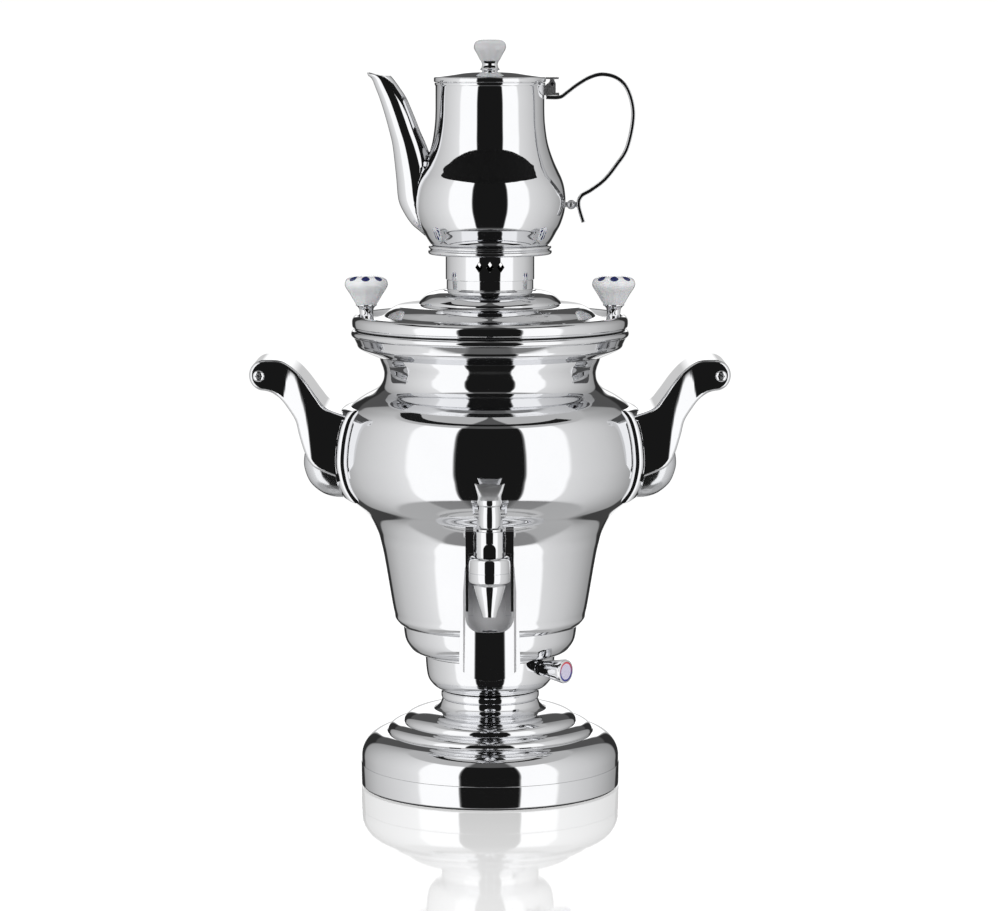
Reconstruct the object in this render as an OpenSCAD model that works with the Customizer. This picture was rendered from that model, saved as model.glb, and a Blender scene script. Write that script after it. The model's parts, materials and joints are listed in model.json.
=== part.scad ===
// Electric samovar with a teapot on its crown, in millimetres.
// The vessel's axis is Z, the tap points to -Y and the side handles lie on X.

/* [Base] */
// Radius of the round base
base_r = 83.7; // [78:0.1:88]
// Height of the plain lower ring of the base
base_ring_h = 14.2; // [12:0.1:18]
// Height of the rubber foot ring under the base
foot_h = 1.0; // [0.8:0.1:1.4]
// Height of the stepped shell above the lower ring
base_shell_h = 41.6; // [38:0.1:46]
// Radius of the waist between base and cups
waist_r = 31.1; // [28:0.1:33]
// Height of the waist collar
waist_h = 5.4; // [4:0.1:8]

/* [Cups] */
// Rim radius of the lower cup, which carries the thermostat
cup_r = 41.9; // [40:0.1:44]
// Height of the lower cup
cup_h = 23.1; // [22:0.1:26]
// Rim radius of the support cup under the vessel
support_r = 56.1; // [54:0.1:58]
// Height of the support cup
support_h = 19.9; // [17:0.1:24]

/* [Vessel] */
// Radius of the vessel at its bottom rim
vessel_bottom_r = 61.9; // [60:0.1:66]
// Largest radius of the belly
belly_r = 98.0; // [96:0.1:102]
// Smallest radius of the neck
neck_r = 68.0; // [66:0.1:70]
// Height of the vessel from its bottom rim to its top edge
vessel_h = 189.8; // [186:0.1:196]
// Sheet thickness of the vessel, cups and base
wall = 1.2; // [1:0.1:1.5]
// Radius of the thickest bead on the top collar
collar_r = 89.1; // [87:0.1:92]
// Height of the top collar
collar_h = 16.8; // [15:0.1:19]

/* [Lid] */
// Outer radius of the lid
lid_r = 88.5; // [87:0.1:92]
// Thickness of the lid's gasket
gasket_h = 0.7; // [0.6:0.1:1]
// Height of the lid's rim
lid_rim_h = 8.5; // [8:0.1:11]
// Height from the lid's ledge to the foot of the crown
dome_h = 17.6; // [15:0.1:22]
// Distance of the lid's ceramic knobs from the axis
knob_place = 79.2; // [78:0.1:81]
// Radius of the lid's ceramic knobs
knob_r = 13.8; // [12:0.1:15]
// Sheet thickness of the lid, crown and teapot
thin_wall = 0.9; // [0.8:0.1:1.1]

/* [Crown] */
// Outer radius of the crown's sleeve
crown_r = 28.4; // [27:0.1:31]
// Height of the sleeve
crown_h = 15.9; // [14:0.1:20]
// Visible height of the stub that the sleeve stands on
stub_h = 6.9; // [5:0.1:9]
// Radius of the dish that the teapot stands in
dish_r = 39.6; // [38.6:0.1:42]
// Width of a diamond-shaped vent
vent_w = 4.8; // [3.5:0.1:6]
// Height of a diamond-shaped vent
vent_h = 6.9; // [5:0.1:8]

/* [Teapot] */
// Largest radius of the teapot
pot_r = 48.3; // [47:0.1:50]
// Radius of the teapot's neck
pot_neck_r = 34.7; // [33.6:0.1:35.6]
// Height of the teapot without its lid
pot_h = 107.6; // [106:0.1:110]
// Height of the ceramic knob on the teapot's lid
pot_knob_h = 14.0; // [12:0.1:16]
// Thickness of the teapot's strap handle
strap_t = 2.4; // [1.8:0.1:3]
// Width of the teapot's strap handle
strap_w = 11; // [8:0.5:14]

/* [Side handles] */
// Reach of a side handle from the vessel's axis
handle_reach = 153.0; // [150:0.1:157]
// Width of a side handle at the belly, front to back
handle_w = 62; // [56:0.5:68]
// Width of a side handle at its head
head_w = 52; // [46:0.5:56]
// Radius of the rolled head of a side handle
head_r = 9.8; // [9:0.1:11]
// Plate thickness of a side handle
handle_t = 2.5; // [2:0.1:3]
// Thickness of the flange that follows the belly
flange_t = 4.4; // [3:0.1:5]

/* [Tap] */
// Distance of the tap's upright axis from the vessel's axis
tap_reach = 108; // [107.5:0.5:112]
// Height of the tap's shank above the table
shank_z = 169.3; // [166:0.1:170]
// Outer radius of the tap's upright barrel
barrel_r = 9.5; // [9:0.1:10.4]
// Radius of the nozzle sleeve
nozzle_r = 12.9; // [12.3:0.1:13.2]
// Radius of the nozzle's outlet
outlet_r = 3.6; // [3:0.1:4]
// Half width of the paddle at its foot
paddle_r = 19; // [18:0.5:22]
// Width of the fan-shaped key at its top
key_w = 18.6; // [16:0.1:22]
// Radial clearance of shafts in their holes
running = 0.06; // [0.03:0.01:0.09]

/* [Thermostat] */
// Radius of the thermostat knob at its face
dial_r = 7.7; // [7:0.1:9]
// Radius of the thermostat knob at its root
dial_root_r = 4.9; // [4.4:0.1:5]
// Length of the thermostat knob
dial_len = 18.6; // [15:0.1:22]
// Direction of the thermostat, in degrees from the front towards +X
dial_turn = 52; // [45:1:60]

/* [Hidden] */
$fn = 96;

steel = [0.80, 0.81, 0.83];
bright = [0.88, 0.89, 0.91];
rubber_black = [0.08, 0.08, 0.08];
ceramic = [0.95, 0.95, 0.97];

// gap between a soft or lifting piece and what it rests on
seat_gap = 0.3;

// heights of the stack, each from the one below
ring_top_z = foot_h + base_ring_h;
waist_z = ring_top_z + base_shell_h;
cup_z = waist_z + waist_h;
support_z = cup_z + cup_h;
vessel_z = support_z + support_h;
vessel_top_z = vessel_z + vessel_h;
collar_top_z = vessel_top_z + wall;
collar_z = collar_top_z - collar_h;
lid_z = collar_top_z + seat_gap + gasket_h;
ledge_z = lid_z + lid_rim_h - 1.7;
dome_z = ledge_z + dome_h;
sleeve_z = dome_z + stub_h;
dish_z = sleeve_z + crown_h;
pot_z = dish_z + 1.2 + seat_gap;
pot_top_z = pot_z + pot_h;

// ---- curves ----

// Point on the smooth curve through p at span i and share t.
function bend(p, i, t) = let (
  a = p[max(i - 1, 0)], b = p[i], c = p[i + 1], d = p[min(i + 2, len(p) - 1)])
  0.5 * (2 * b + (c - a) * t + (2 * a - 5 * b + 4 * c - d) * t * t
  + (3 * b - a - 3 * c + d) * t * t * t);

// Smooth curve through the points p, with n steps to a span.
function smooth(p, n) = concat([for (i = [0 : len(p) - 2], k = [0 : n - 1]) bend(p, i, k / n)],
  [p[len(p) - 1]]);

// Arc about (x, z) from angle a to angle b.
function arc(x, z, r, a, b, n) = [for (k = [0 : n])
  [x + r * cos(a + (b - a) * k / n), z + r * sin(a + (b - a) * k / n)]];

// Convex step that starts upright at (r0, z0) and ends level at (r1, z1).
function crest(r0, z0, r1, z1, n) = [for (k = [0 : n])
  [r1 + (r0 - r1) * cos(90 * k / n), z0 + (z1 - z0) * sin(90 * k / n)]];

function unit(v) = v / norm(v);
function run_at(p, i) = unit(p[min(i + 1, len(p) - 1)] - p[max(i - 1, 0)]);

// The curve p moved sideways by t, to its left for a positive t.
function beside(p, t) = [for (i = [0 : len(p) - 1])
  let (v = run_at(p, i)) p[i] + t * [-v[1], v[0]]];

function backwards(p) = [for (i = [len(p) - 1 : -1 : 0]) p[i]];

// Sheet of thickness t turned about Z, on the left of the curve p.
module turned_sheet(p, t) {
  rotate_extrude() polygon(concat(p, backwards(beside(p, t))));
}

module ring(r_in, r_out, z0, z1) {
  rotate_extrude() translate([r_in, z0]) square([r_out - r_in, z1 - z0]);
}

// Strip of thickness t along the curve p in XZ, of width w about y = 0.
module strap(p, t, w) {
  translate([0, w / 2, 0]) rotate([90, 0, 0]) linear_extrude(w)
    polygon(concat(beside(p, t / 2), backwards(beside(p, -t / 2))));
}

// Plate with the outline p in XZ, from y0 to y1.
module side_plate(p, y0, y1) {
  translate([0, y1, 0]) rotate([90, 0, 0]) linear_extrude(y1 - y0) polygon(p);
}

module both_sides() {
  children();
  mirror([1, 0, 0]) children();
}

// ---- profiles, radius and height ----

shell_r = base_r - 0.3;
step_r = [shell_r, 66.8, 66.2, 55.8, 55.7, 36.5];
step_z = [4.1, 20.3, 20.9, 26.8, 27.2, 35];
base_profile = concat([[shell_r, ring_top_z]],
  crest(step_r[0], ring_top_z + step_z[0], step_r[1], ring_top_z + step_z[1], 10),
  crest(step_r[2], ring_top_z + step_z[2], step_r[3], ring_top_z + step_z[3], 6),
  crest(step_r[4], ring_top_z + step_z[4], step_r[5], ring_top_z + step_z[5], 8),
  smooth([[34.2, waist_z - 5.4], [32.2, waist_z - 3.2], [waist_r, waist_z]], 3));

cup_profile = concat(smooth([[waist_r - 1.5, cup_z], [waist_r + 4.2, cup_z + 2.5],
  [waist_r + 7.3, cup_z + 5.4], [cup_r - 1.4, cup_z + 9.3], [cup_r - 0.4, cup_z + 15.8],
  [cup_r, support_z - 1]], 3), [[cup_r, support_z]]);

support_profile = concat(smooth([[cup_r - 0.4, support_z], [cup_r + 7.2, support_z + 3],
  [support_r - 3.6, support_z + 6.4], [support_r - 1.1, support_z + 11.4],
  [support_r, vessel_z - 1]], 4), [[support_r, vessel_z]]);

vessel_curve = smooth([[vessel_bottom_r - 2.3, vessel_z + 2.2],
  [vessel_bottom_r - 0.6, vessel_z + 4.8], [vessel_bottom_r, vessel_z + 8],
  [vessel_bottom_r + 1.5, vessel_z + 15.3], [vessel_bottom_r + 5.9, vessel_z + 41.5],
  [vessel_bottom_r + 8.3, vessel_z + 53], [vessel_bottom_r + 11, vessel_z + 62],
  [vessel_bottom_r + 16.9, vessel_z + 72.6], [belly_r - 9, vessel_z + 82.2],
  [belly_r - 3.1, vessel_z + 91.8], [belly_r - 0.4, vessel_z + 102.8],
  [belly_r, vessel_z + 111.8], [belly_r - 1.4, vessel_z + 124.8],
  [belly_r - 4.8, vessel_z + 136.8], [belly_r - 10.6, vessel_z + 143.8],
  [neck_r + 12.6, vessel_z + 148.6], [neck_r + 4.4, vessel_z + 153.2],
  [neck_r + 0.9, vessel_z + 157.8], [neck_r, vessel_z + 162.6],
  [neck_r + 0.7, vessel_z + 166.6], [neck_r + 2.5, vessel_z + 171.6],
  [neck_r + 3.2, vessel_z + 175]], 3);
vessel_lip_r = vessel_bottom_r - 14;
// weld between the vessel's two drawn halves
seam_z = vessel_z + 118;
vessel_profile = concat([[vessel_lip_r, vessel_z], [vessel_bottom_r - 5, vessel_z]],
  vessel_curve, [[neck_r + 3.2, vessel_top_z]]);

// The vessel's outer radius at height z, read from its profile.
function vessel_r(z) = lookup(z, [for (p = vessel_curve) [p[1], p[0]]]);

// Solid inside the vessel's outer skin grown by t, for cutting what seats on it.
module vessel_core(t) {
  skin = beside(vessel_curve, -t);
  rotate_extrude() polygon(concat([[0, skin[0][1]]], skin, [[0, skin[len(skin) - 1][1]]]));
}

// ---- base ----

tie_r = 3;
cover_z = foot_h + wall;
cover_top_z = cover_z + wall;
screw_place = base_r - 12;
gland_z = foot_h + base_ring_h / 2 + 0.4;
gland_r = 4.6;
cord_r = 3.4;

module rubber_foot() {
  color(rubber_black) ring(base_r - 8.5, base_r - 1.5, 0, foot_h);
}

module cover_screw_places() {
  for (turn = [45 : 90 : 315]) rotate([0, 0, turn]) translate([screw_place, 0, 0]) children();
}

module bottom_cover() {
  color(steel) difference() {
    ring(tie_r, base_r - wall - seat_gap, cover_z, cover_top_z);
    cover_screw_places() translate([0, 0, foot_h]) cylinder(r = 1.5, h = 3 * wall);
  }
}

module base_ring() {
  lip_r = screw_place - 4;
  color(bright) difference() {
    rotate_extrude() polygon([[lip_r, foot_h], [base_r, foot_h], [base_r, ring_top_z - 0.6],
      [base_r - 0.5, ring_top_z], [base_r - 0.3 - wall, ring_top_z],
      [base_r - 0.3 - wall, ring_top_z - 2], [base_r - wall, ring_top_z - 2.4],
      [base_r - wall, cover_z], [lip_r, cover_z]]);
    cover_screw_places() cylinder(r = 1.5, h = foot_h + 2 * wall);
    translate([0, base_r + 2, gland_z]) rotate([90, 0, 0]) cylinder(r = gland_r, h = 8);
  }
}

module base_shell() {
  color(bright) turned_sheet(base_profile, wall);
}

module base_fixings() {
  color(steel) {
    cover_screw_places() union() {
      translate([0, 0, foot_h - 0.7]) cylinder(r = 3, h = 0.7);
      translate([0, 0, foot_h]) cylinder(r = 1.5, h = 2 * wall + 2);
    }
    ring(tie_r, 7, foot_h - 0.6, cover_z);
    ring(tie_r, 7, vessel_z + wall + 1.5, vessel_z + wall + 5.5);
  }
}

module cord_gland() {
  inside = base_r - wall - 0.3;
  outside = base_r;
  color(rubber_black) translate([0, 0, gland_z]) rotate([-90, 0, 0]) difference() {
    union() {
      translate([0, 0, inside - 3]) cylinder(r = gland_r + 0.4, h = 3);
      translate([0, 0, inside]) cylinder(r = gland_r, h = outside - inside);
      translate([0, 0, outside]) cylinder(r1 = gland_r + 1.3, r2 = gland_r, h = 3);
    }
    translate([0, 0, inside - 4]) cylinder(r = cord_r, h = outside - inside + 8);
  }
}

module terminal_block() {
  color([0.9, 0.9, 0.86]) translate([-14, 26, cover_top_z]) cube([28, 14, 11]);
}

module tie_rod() {
  color(steel) translate([0, 0, foot_h - 0.6])
    cylinder(r = tie_r, h = vessel_z + wall + 7.5 - foot_h);
}

module waist_collar() {
  inner = waist_r - 4;
  color(bright) rotate_extrude() polygon([[inner, waist_z], [waist_r, waist_z],
    [waist_r + 0.5, waist_z + 0.9], [waist_r + 0.6, waist_z + waist_h / 2],
    [waist_r + 0.5, cup_z - 0.9], [waist_r, cup_z], [inner, cup_z]]);
}

// ---- cups ----

spindle_r = 3;
dial_z = cup_z + 18.2;
bush_r = 3.9;
dial_foot = cup_r + 1.2;

module on_dial_axis() {
  translate([0, 0, dial_z]) rotate([90, 0, dial_turn]) children();
}

module lower_cup() {
  color(bright) difference() {
    turned_sheet(concat([[tie_r + 9, cup_z]], cup_profile), wall);
    on_dial_axis() translate([0, 0, 30]) cylinder(r = bush_r, h = 20);
  }
}

module support_cup() {
  color(bright) turned_sheet(concat([[cup_r - 4, support_z]], support_profile), wall);
}

module thermostat_body() {
  color(steel) on_dial_axis() difference() {
    union() {
      translate([0, 0, 17]) cylinder(r = 10, h = 17);
      cylinder(r = bush_r, h = cup_r + 0.7);
    }
    translate([0, 0, -1]) cylinder(r = 12, h = 18);
    translate([0, 0, 10]) cylinder(r = spindle_r + running, h = 40);
  }
}

module thermostat_seal() {
  color(rubber_black) on_dial_axis() ring(bush_r, dial_root_r - 0.1, cup_r + 0.05, cup_r + 0.8);
}

module thermostat_spindle() {
  color(steel) on_dial_axis() translate([0, 0, 20]) cylinder(r = spindle_r, h = dial_foot - 10);
}

module thermostat_knob() {
  color(bright) on_dial_axis() translate([0, 0, dial_foot]) difference() {
    rotate_extrude() polygon([[0, 0], [dial_root_r, 0], [dial_r - 0.2, dial_len - 3],
      [dial_r, dial_len - 1], [dial_r - 0.8, dial_len], [dial_r - 1.4, dial_len],
      [dial_r - 1.4, dial_len - 0.7], [0, dial_len - 0.7]]);
    translate([0, 0, -1]) cylinder(r = spindle_r, h = 11);
  }
}

module dial_disc() {
  color([0.86, 0.84, 0.93]) on_dial_axis() translate([0, 0, dial_foot + dial_len - 0.7])
    cylinder(r = dial_r - 1.4, h = 0.5);
}

// ---- vessel ----

coil_r = 34;
coil_z = vessel_z + 16.8;
leg_turn = 15;
tube_r = 4;
leg_r = 3.4;
floor_z = vessel_z + wall;
floor_t = 1.5;
saddle_screw_z = [vessel_z + 97, vessel_z + 111];

module saddle_screw_places() {
  both_sides() for (z = saddle_screw_z) translate([vessel_r(z), 0, z]) rotate([0, 90, 0])
    children();
}

module vessel_sheet() {
  difference() {
    turned_sheet(vessel_profile, wall);
    translate([0, 0, shank_z]) rotate([90, 0, 0]) cylinder(r = shank_r, h = belly_r + 5);
    saddle_screw_places() translate([0, 0, -8]) cylinder(r = saddle_screw_r, h = 16);
  }
}

module vessel() {
  color(bright) intersection() {
    vessel_sheet();
    cylinder(r = belly_r + 5, h = seam_z);
  }
}

module vessel_shoulder() {
  color(bright) difference() {
    vessel_sheet();
    cylinder(r = belly_r + 5, h = seam_z);
  }
}

module leg_places() {
  for (turn = [90 - leg_turn, 90 + leg_turn]) rotate([0, 0, turn])
    translate([coil_r, 0, 0]) children();
}

module vessel_floor() {
  color(steel) difference() {
    ring(tie_r, vessel_bottom_r - 7, floor_z, floor_z + floor_t);
    leg_places() translate([0, 0, vessel_z]) cylinder(r = tube_r + 1.4, h = 8);
  }
}

module top_collar() {
  band_r = collar_r - 3.5;
  bead = 2.4;
  color(bright) turned_sheet(concat([[neck_r + 3.2, collar_z]],
    smooth([[neck_r + 5, collar_z], [band_r - 5.4, collar_z + 3.2],
      [band_r - 1.2, collar_z + 5.6], [band_r, collar_z + 8.2]], 3),
    arc(collar_r - bead, collar_top_z - bead, bead, -70, 90, 8),
    [[neck_r + 2, collar_top_z]]), wall);
}

module heating_element() {
  foot_z = vessel_z - 6;
  color(steel) union() {
    rotate([0, 0, 90 + leg_turn]) translate([0, 0, coil_z])
      rotate_extrude(angle = 360 - 2 * leg_turn) translate([coil_r, 0]) circle(r = tube_r);
    leg_places() translate([0, 0, foot_z])
      cylinder(r = leg_r, h = coil_z + tube_r / 2 - foot_z);
  }
}

module element_glands() {
  color(steel) leg_places() rotate_extrude() polygon([[leg_r, floor_z - 3],
    [tube_r + 3.2, floor_z - 3], [tube_r + 3.2, floor_z], [tube_r + 1.4, floor_z],
    [tube_r + 1.4, floor_z + floor_t], [tube_r + 3.2, floor_z + floor_t],
    [tube_r + 3.2, floor_z + floor_t + 2.5], [leg_r, floor_z + floor_t + 2.5]]);
}

module thermal_cutout() {
  color([0.85, 0.83, 0.78]) translate([-20, -17, floor_z - 8]) cylinder(r = 8, h = 8);
}

// ---- side handles ----

head_x = handle_reach - head_r;
head_z = vessel_z + 163.6;
flange_low_z = vessel_z + 82.6;
flange_high_z = vessel_z + 142;
saddle_screw_r = 2.4;
grip_screw_at = [head_x + 3.6, head_z - 0.4];

arm_top = smooth([[belly_r - 6.8, head_z - 25.4], [head_x - 39.8, head_z - 20.8],
  [head_x - 33.8, head_z - 14.2], [head_x - 26.3, head_z - 3.8], [head_x - 20.1, head_z + 3.1],
  [head_x - 13.7, head_z + 7.8], [head_x - 8.2, head_z + 9.6], [head_x, head_z + head_r]], 3);
arm_low = smooth([[head_x, head_z - head_r], [head_x - 4.7, head_z - 11.2],
  [head_x - 10.2, head_z - 15.2], [head_x - 14.9, head_z - 21.2], [head_x - 19.6, head_z - 28.8],
  [head_x - 21.9, head_z - 37.8], [head_x - 25.3, head_z - 48.7], [head_x - 28.9, head_z - 55.6],
  [head_x - 35, head_z - 60.3], [belly_r - 6.8, head_z - 67]], 3);
head_round = arc(head_x, head_z, head_r, 80, -90, 14);
saddle_outline = concat([[belly_r - 12.8, head_z - 44], [belly_r + 11.2, head_z - 41]],
  smooth([[belly_r + 17.2, head_z - 44], [belly_r + 20.2, head_z - 49],
    [belly_r + 21.4, head_z - 57.8], [belly_r + 19.7, head_z - 65.3],
    [belly_r + 16.2, head_z - 71.5], [belly_r + 9.4, head_z - 77], [belly_r + 2.4, head_z - 79.4],
    [belly_r - 4.8, head_z - 79.9], [belly_r - 12.8, head_z - 80]], 3));

// Outer skin of the belly where the flanges lie, grown by t.
function belly_skin(t) = beside([for (p = vessel_curve)
  if (p[1] > flange_low_z - 6 && p[1] < flange_high_z + 6) p], -t);

module belly_core(t) {
  skin = belly_skin(t);
  rotate_extrude() polygon(concat([[0, skin[0][1]]], skin, [[0, skin[len(skin) - 1][1]]]));
}

// Plan of a cheek's outer face: wide at the belly, drawn in to the head.
cheek_plan = concat(smooth([[belly_r - 20, handle_w / 2], [belly_r + 6, handle_w / 2],
  [belly_r + 14, handle_w / 2 - 0.4], [head_x - 23, handle_w / 2 - 2],
  [head_x - 13.5, head_w / 2 + 0.7], [head_x - 8, head_w / 2]], 4),
  [[head_x + head_r + 2, head_w / 2]]);

module handle_shell() {
  outline = concat(arm_top, head_round, arm_low);
  back = concat(arm_top, head_round);
  half = head_w / 2;
  inner = beside(cheek_plan, -handle_t);
  difference() {
    union() {
      both_cheeks() intersection() {
        side_plate(outline, 0, handle_w);
        plan_plate(concat(cheek_plan, backwards(inner)));
      }
      intersection() {
        side_plate(concat(back, backwards(beside(back, -handle_t))), -handle_w, handle_w);
        plan_plate(concat(cheek_plan, backwards([for (p = cheek_plan) [p[0], -p[1]]])));
      }
    }
    belly_core(flange_t);
    for (s = [-1, 1]) translate([grip_screw_at[0], s * half, grip_screw_at[1]])
      rotate([90, 0, 0]) cylinder(r = 1.6, h = 3 * handle_t, center = true);
  }
}

// Plan outline pushed up through the height of a side handle.
module plan_plate(p) {
  translate([0, 0, head_z - 80]) linear_extrude(80 + 2 * head_r) polygon(p);
}

module both_cheeks() {
  children();
  mirror([0, 1, 0]) children();
}

module left_handle() {
  color(bright) mirror([1, 0, 0]) handle_shell();
}

module right_handle() {
  color(bright) handle_shell();
}

module handle_grips() {
  len = head_w - 2 * handle_t;
  color(rubber_black) both_sides() translate([head_x, 0, head_z]) rotate([90, 0, 0])
    difference() {
      cylinder(r = head_r - handle_t - 0.2, h = len, center = true);
      for (s = [-1, 1])
        translate([grip_screw_at[0] - head_x, grip_screw_at[1] - head_z, s * len / 2])
          cylinder(r = 1.6, h = 20, center = true);
    }
}

module handle_saddles() {
  color(bright) both_sides() difference() {
    side_plate(saddle_outline, -22, 22);
    belly_core(flange_t);
    for (z = saddle_screw_z) translate([vessel_r(z), 0, z]) rotate([0, 90, 0])
      cylinder(r = saddle_screw_r, h = flange_t + 9);
  }
}

module handle_flange() {
  difference() {
    intersection() {
      rotate_extrude() polygon(concat(belly_skin(0), backwards(belly_skin(flange_t))));
      translate([40, -handle_w / 2 - 1, flange_low_z])
        cube([80, handle_w + 2, flange_high_z - flange_low_z]);
    }
    for (z = saddle_screw_z) translate([vessel_r(z) - 5, 0, z]) rotate([0, 90, 0])
      cylinder(r = saddle_screw_r, h = 20);
  }
}

module left_flange() {
  color(bright) mirror([1, 0, 0]) handle_flange();
}

module right_flange() {
  color(bright) handle_flange();
}

module grip_screws() {
  half = head_w / 2;
  color(steel) both_sides() for (s = [-1, 1])
    translate([grip_screw_at[0], s * half, grip_screw_at[1]]) rotate([-90 * s, 0, 0])
      difference() {
        union() {
          translate([0, 0, -handle_t - 8]) cylinder(r = 1.6, h = handle_t + 8);
          cylinder(r1 = 3.6, r2 = 2.9, h = 1.3);
        }
        for (turn = [0, 90]) rotate([0, 0, turn]) translate([-2, -0.4, 0.5]) cube([4, 0.8, 2]);
      }
}

module saddle_screws() {
  color(steel) saddle_screw_places() union() {
    translate([0, 0, -wall - 4.6]) cylinder(r = 4.2, h = 2.5);
    translate([0, 0, -wall - 3]) cylinder(r = saddle_screw_r, h = wall + flange_t + 11);
  }
}

// ---- tap ----

shank_r = 6;
shank_bore = 4.6;
neck_tube_r = 7;
barrel_z = shank_z - 4;
barrel_top_z = shank_z + 11.5;
pivot_z = shank_z + 9.5;
ear_r = 4.5;
ear_in = barrel_r + 0.4;
ear_out = barrel_r + 5.3;
pin_r = 1.6;
tap_face = vessel_r(shank_z + shank_r + 3) + 0.8;
tap_washer_r = shank_r + 3;
nozzle_h = 38;
chamber_r = 8;
rod_r = 2.2;
key_spigot_r = 3;
bonnet_h = 1.6;

module at_tap() {
  translate([0, -tap_reach, 0]) children();
}

// Cylinder along the shank, from y0 to y1 towards the back.
module along_shank(r, y0, y1) {
  translate([0, y0, shank_z]) rotate([-90, 0, 0]) cylinder(r = r, h = y1 - y0);
}

module tap_shank() {
  inner = vessel_r(shank_z - tap_washer_r) - wall;
  color(steel) difference() {
    along_shank(shank_r, -tap_face - 5, 8 - inner);
    along_shank(shank_bore, -tap_face - 6, 9 - inner);
  }
}

module tap_washer() {
  color(rubber_black) difference() {
    along_shank(tap_washer_r, -tap_face, 8 - tap_face + tap_washer_r);
    along_shank(shank_r, -tap_face - 1, 9 - tap_face + tap_washer_r);
    vessel_core(0);
  }
}

module tap_nut() {
  inner = vessel_r(shank_z - tap_washer_r) - wall;
  color(steel) difference() {
    translate([0, 0.1 - inner, shank_z]) rotate([-90, 0, 0]) cylinder(r = 10.2, h = 4, $fn = 6);
    along_shank(shank_r, -inner - 1, 6 - inner);
  }
}

module tap_body() {
  lug_r = 3.9;
  lug_z = barrel_z + 5;
  color(bright) difference() {
    union() {
      at_tap() translate([0, 0, barrel_z]) cylinder(r = barrel_r, h = barrel_top_z - barrel_z);
      along_shank(neck_tube_r, -tap_reach, -tap_face - 3);
      along_shank(tap_washer_r, -tap_face - 3, -tap_face);
      translate([0, -tap_reach - barrel_r - 1.6, lug_z]) rotate([-90, 0, 0])
        cylinder(r = lug_r, h = barrel_r);
      translate([-lug_r, -tap_reach - barrel_r - 1.6, barrel_z])
        cube([2 * lug_r, barrel_r, lug_z - barrel_z]);
    }
    at_tap() translate([0, 0, barrel_z - 1])
      cylinder(r = 4.2, h = barrel_top_z - barrel_z + 2);
    at_tap() translate([0, 0, barrel_z - nozzle_h]) cylinder(r = nozzle_r + 0.2, h = nozzle_h);
    along_shank(shank_bore, -tap_reach, -tap_face - 4);
    along_shank(shank_r, -tap_face - 5, -tap_face + 1);
    at_tap() translate([0, 0, pivot_z]) rotate([0, 90, 0]) pin_holes();
  }
}

module pin_holes() {
  for (s = [-1, 1]) translate([0, 0, s * (barrel_r - 2.6 + 10)])
    cylinder(r = pin_r, h = 20, center = true);
}

module paddle_pins() {
  color(steel) at_tap() translate([0, 0, pivot_z]) rotate([0, 90, 0]) for (s = [0, 1])
    mirror([0, 0, s]) union() {
      translate([0, 0, barrel_r - 2.6]) cylinder(r = pin_r, h = ear_out + 3 - barrel_r);
      translate([0, 0, ear_out + 0.2]) cylinder(r1 = 2.6, r2 = 1.8, h = 1);
    }
}

module tap_bonnet() {
  color(bright) at_tap() ring(key_spigot_r + running, barrel_r - 1.3, barrel_top_z,
    barrel_top_z + bonnet_h);
}

module tap_key() {
  foot = barrel_top_z + bonnet_h + 0.25;
  head = foot + 17.6;
  top = head + 9.6;
  grip = key_w / 2;
  flare = smooth([[6.6, head], [4.6, head + 2], [3.3, head + 4], [2.3, head + 6.4],
    [1.5, top + 0.1]], 3);
  color(bright) at_tap() union() {
    rotate_extrude() polygon(concat([[0, barrel_top_z + 0.2], [key_spigot_r, barrel_top_z + 0.2],
      [key_spigot_r, foot]], smooth([[6.4, foot], [6.9, foot + 2.4], [6.9, foot + 8],
      [6.3, foot + 13.4]], 3), [[7.2, foot + 14.2], [7.5, foot + 15.6], [7.2, head], [0, head]]));
    intersection() {
      side_plate(concat([[-7.2, head], [7.2, head], [grip - 1, top - 3.4], [grip, top]],
        arc(0, top + 14, norm([grip - 1, 14]), 270 + atan((grip - 1) / 14),
        270 - atan((grip - 1) / 14), 8), [[-grip, top], [1 - grip, top - 3.4]]), -8, 8);
      rotate([0, 0, 90]) side_plate(concat(flare, backwards([for (p = flare) [-p[0], p[1]]])),
        -12, 12);
    }
  }
}

module tap_nozzle() {
  tip = barrel_z - nozzle_h;
  color(bright) at_tap() difference() {
    rotate_extrude() polygon(concat([[0, tip], [4.5, tip], [4.7, tip + 0.6]],
      smooth([[5, tip + 2], [7, tip + 8.6], [8.8, tip + 14.6], [10, tip + 19.4]], 3),
      [[10.2, tip + 20.2], [nozzle_r - 0.5, tip + 21.8], [nozzle_r, tip + 23.4],
      [nozzle_r, tip + 27.9], [nozzle_r - 0.3, tip + 28.1], [nozzle_r, tip + 28.3]],
      arc(nozzle_r - 3, barrel_z - 3.2, 3, 0, 80, 6), [[barrel_r, barrel_z], [0, barrel_z]]));
    translate([0, 0, tip - 1]) cylinder(r = outlet_r, h = nozzle_h);
    translate([0, 0, tip + 15]) cylinder(r1 = outlet_r, r2 = chamber_r, h = 5);
    translate([0, 0, tip + 20]) cylinder(r = chamber_r, h = nozzle_h);
  }
}

module valve_plunger() {
  color(steel) at_tap() union() {
    translate([0, 0, barrel_z - 6.1]) cylinder(r = 5, h = 2);
    translate([0, 0, barrel_z - 4.1]) cylinder(r = rod_r, h = 16);
  }
}

module valve_seal() {
  color(rubber_black) at_tap() ring(rod_r, 6.3, barrel_z - 4.1, barrel_z - seat_gap);
}

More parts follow.
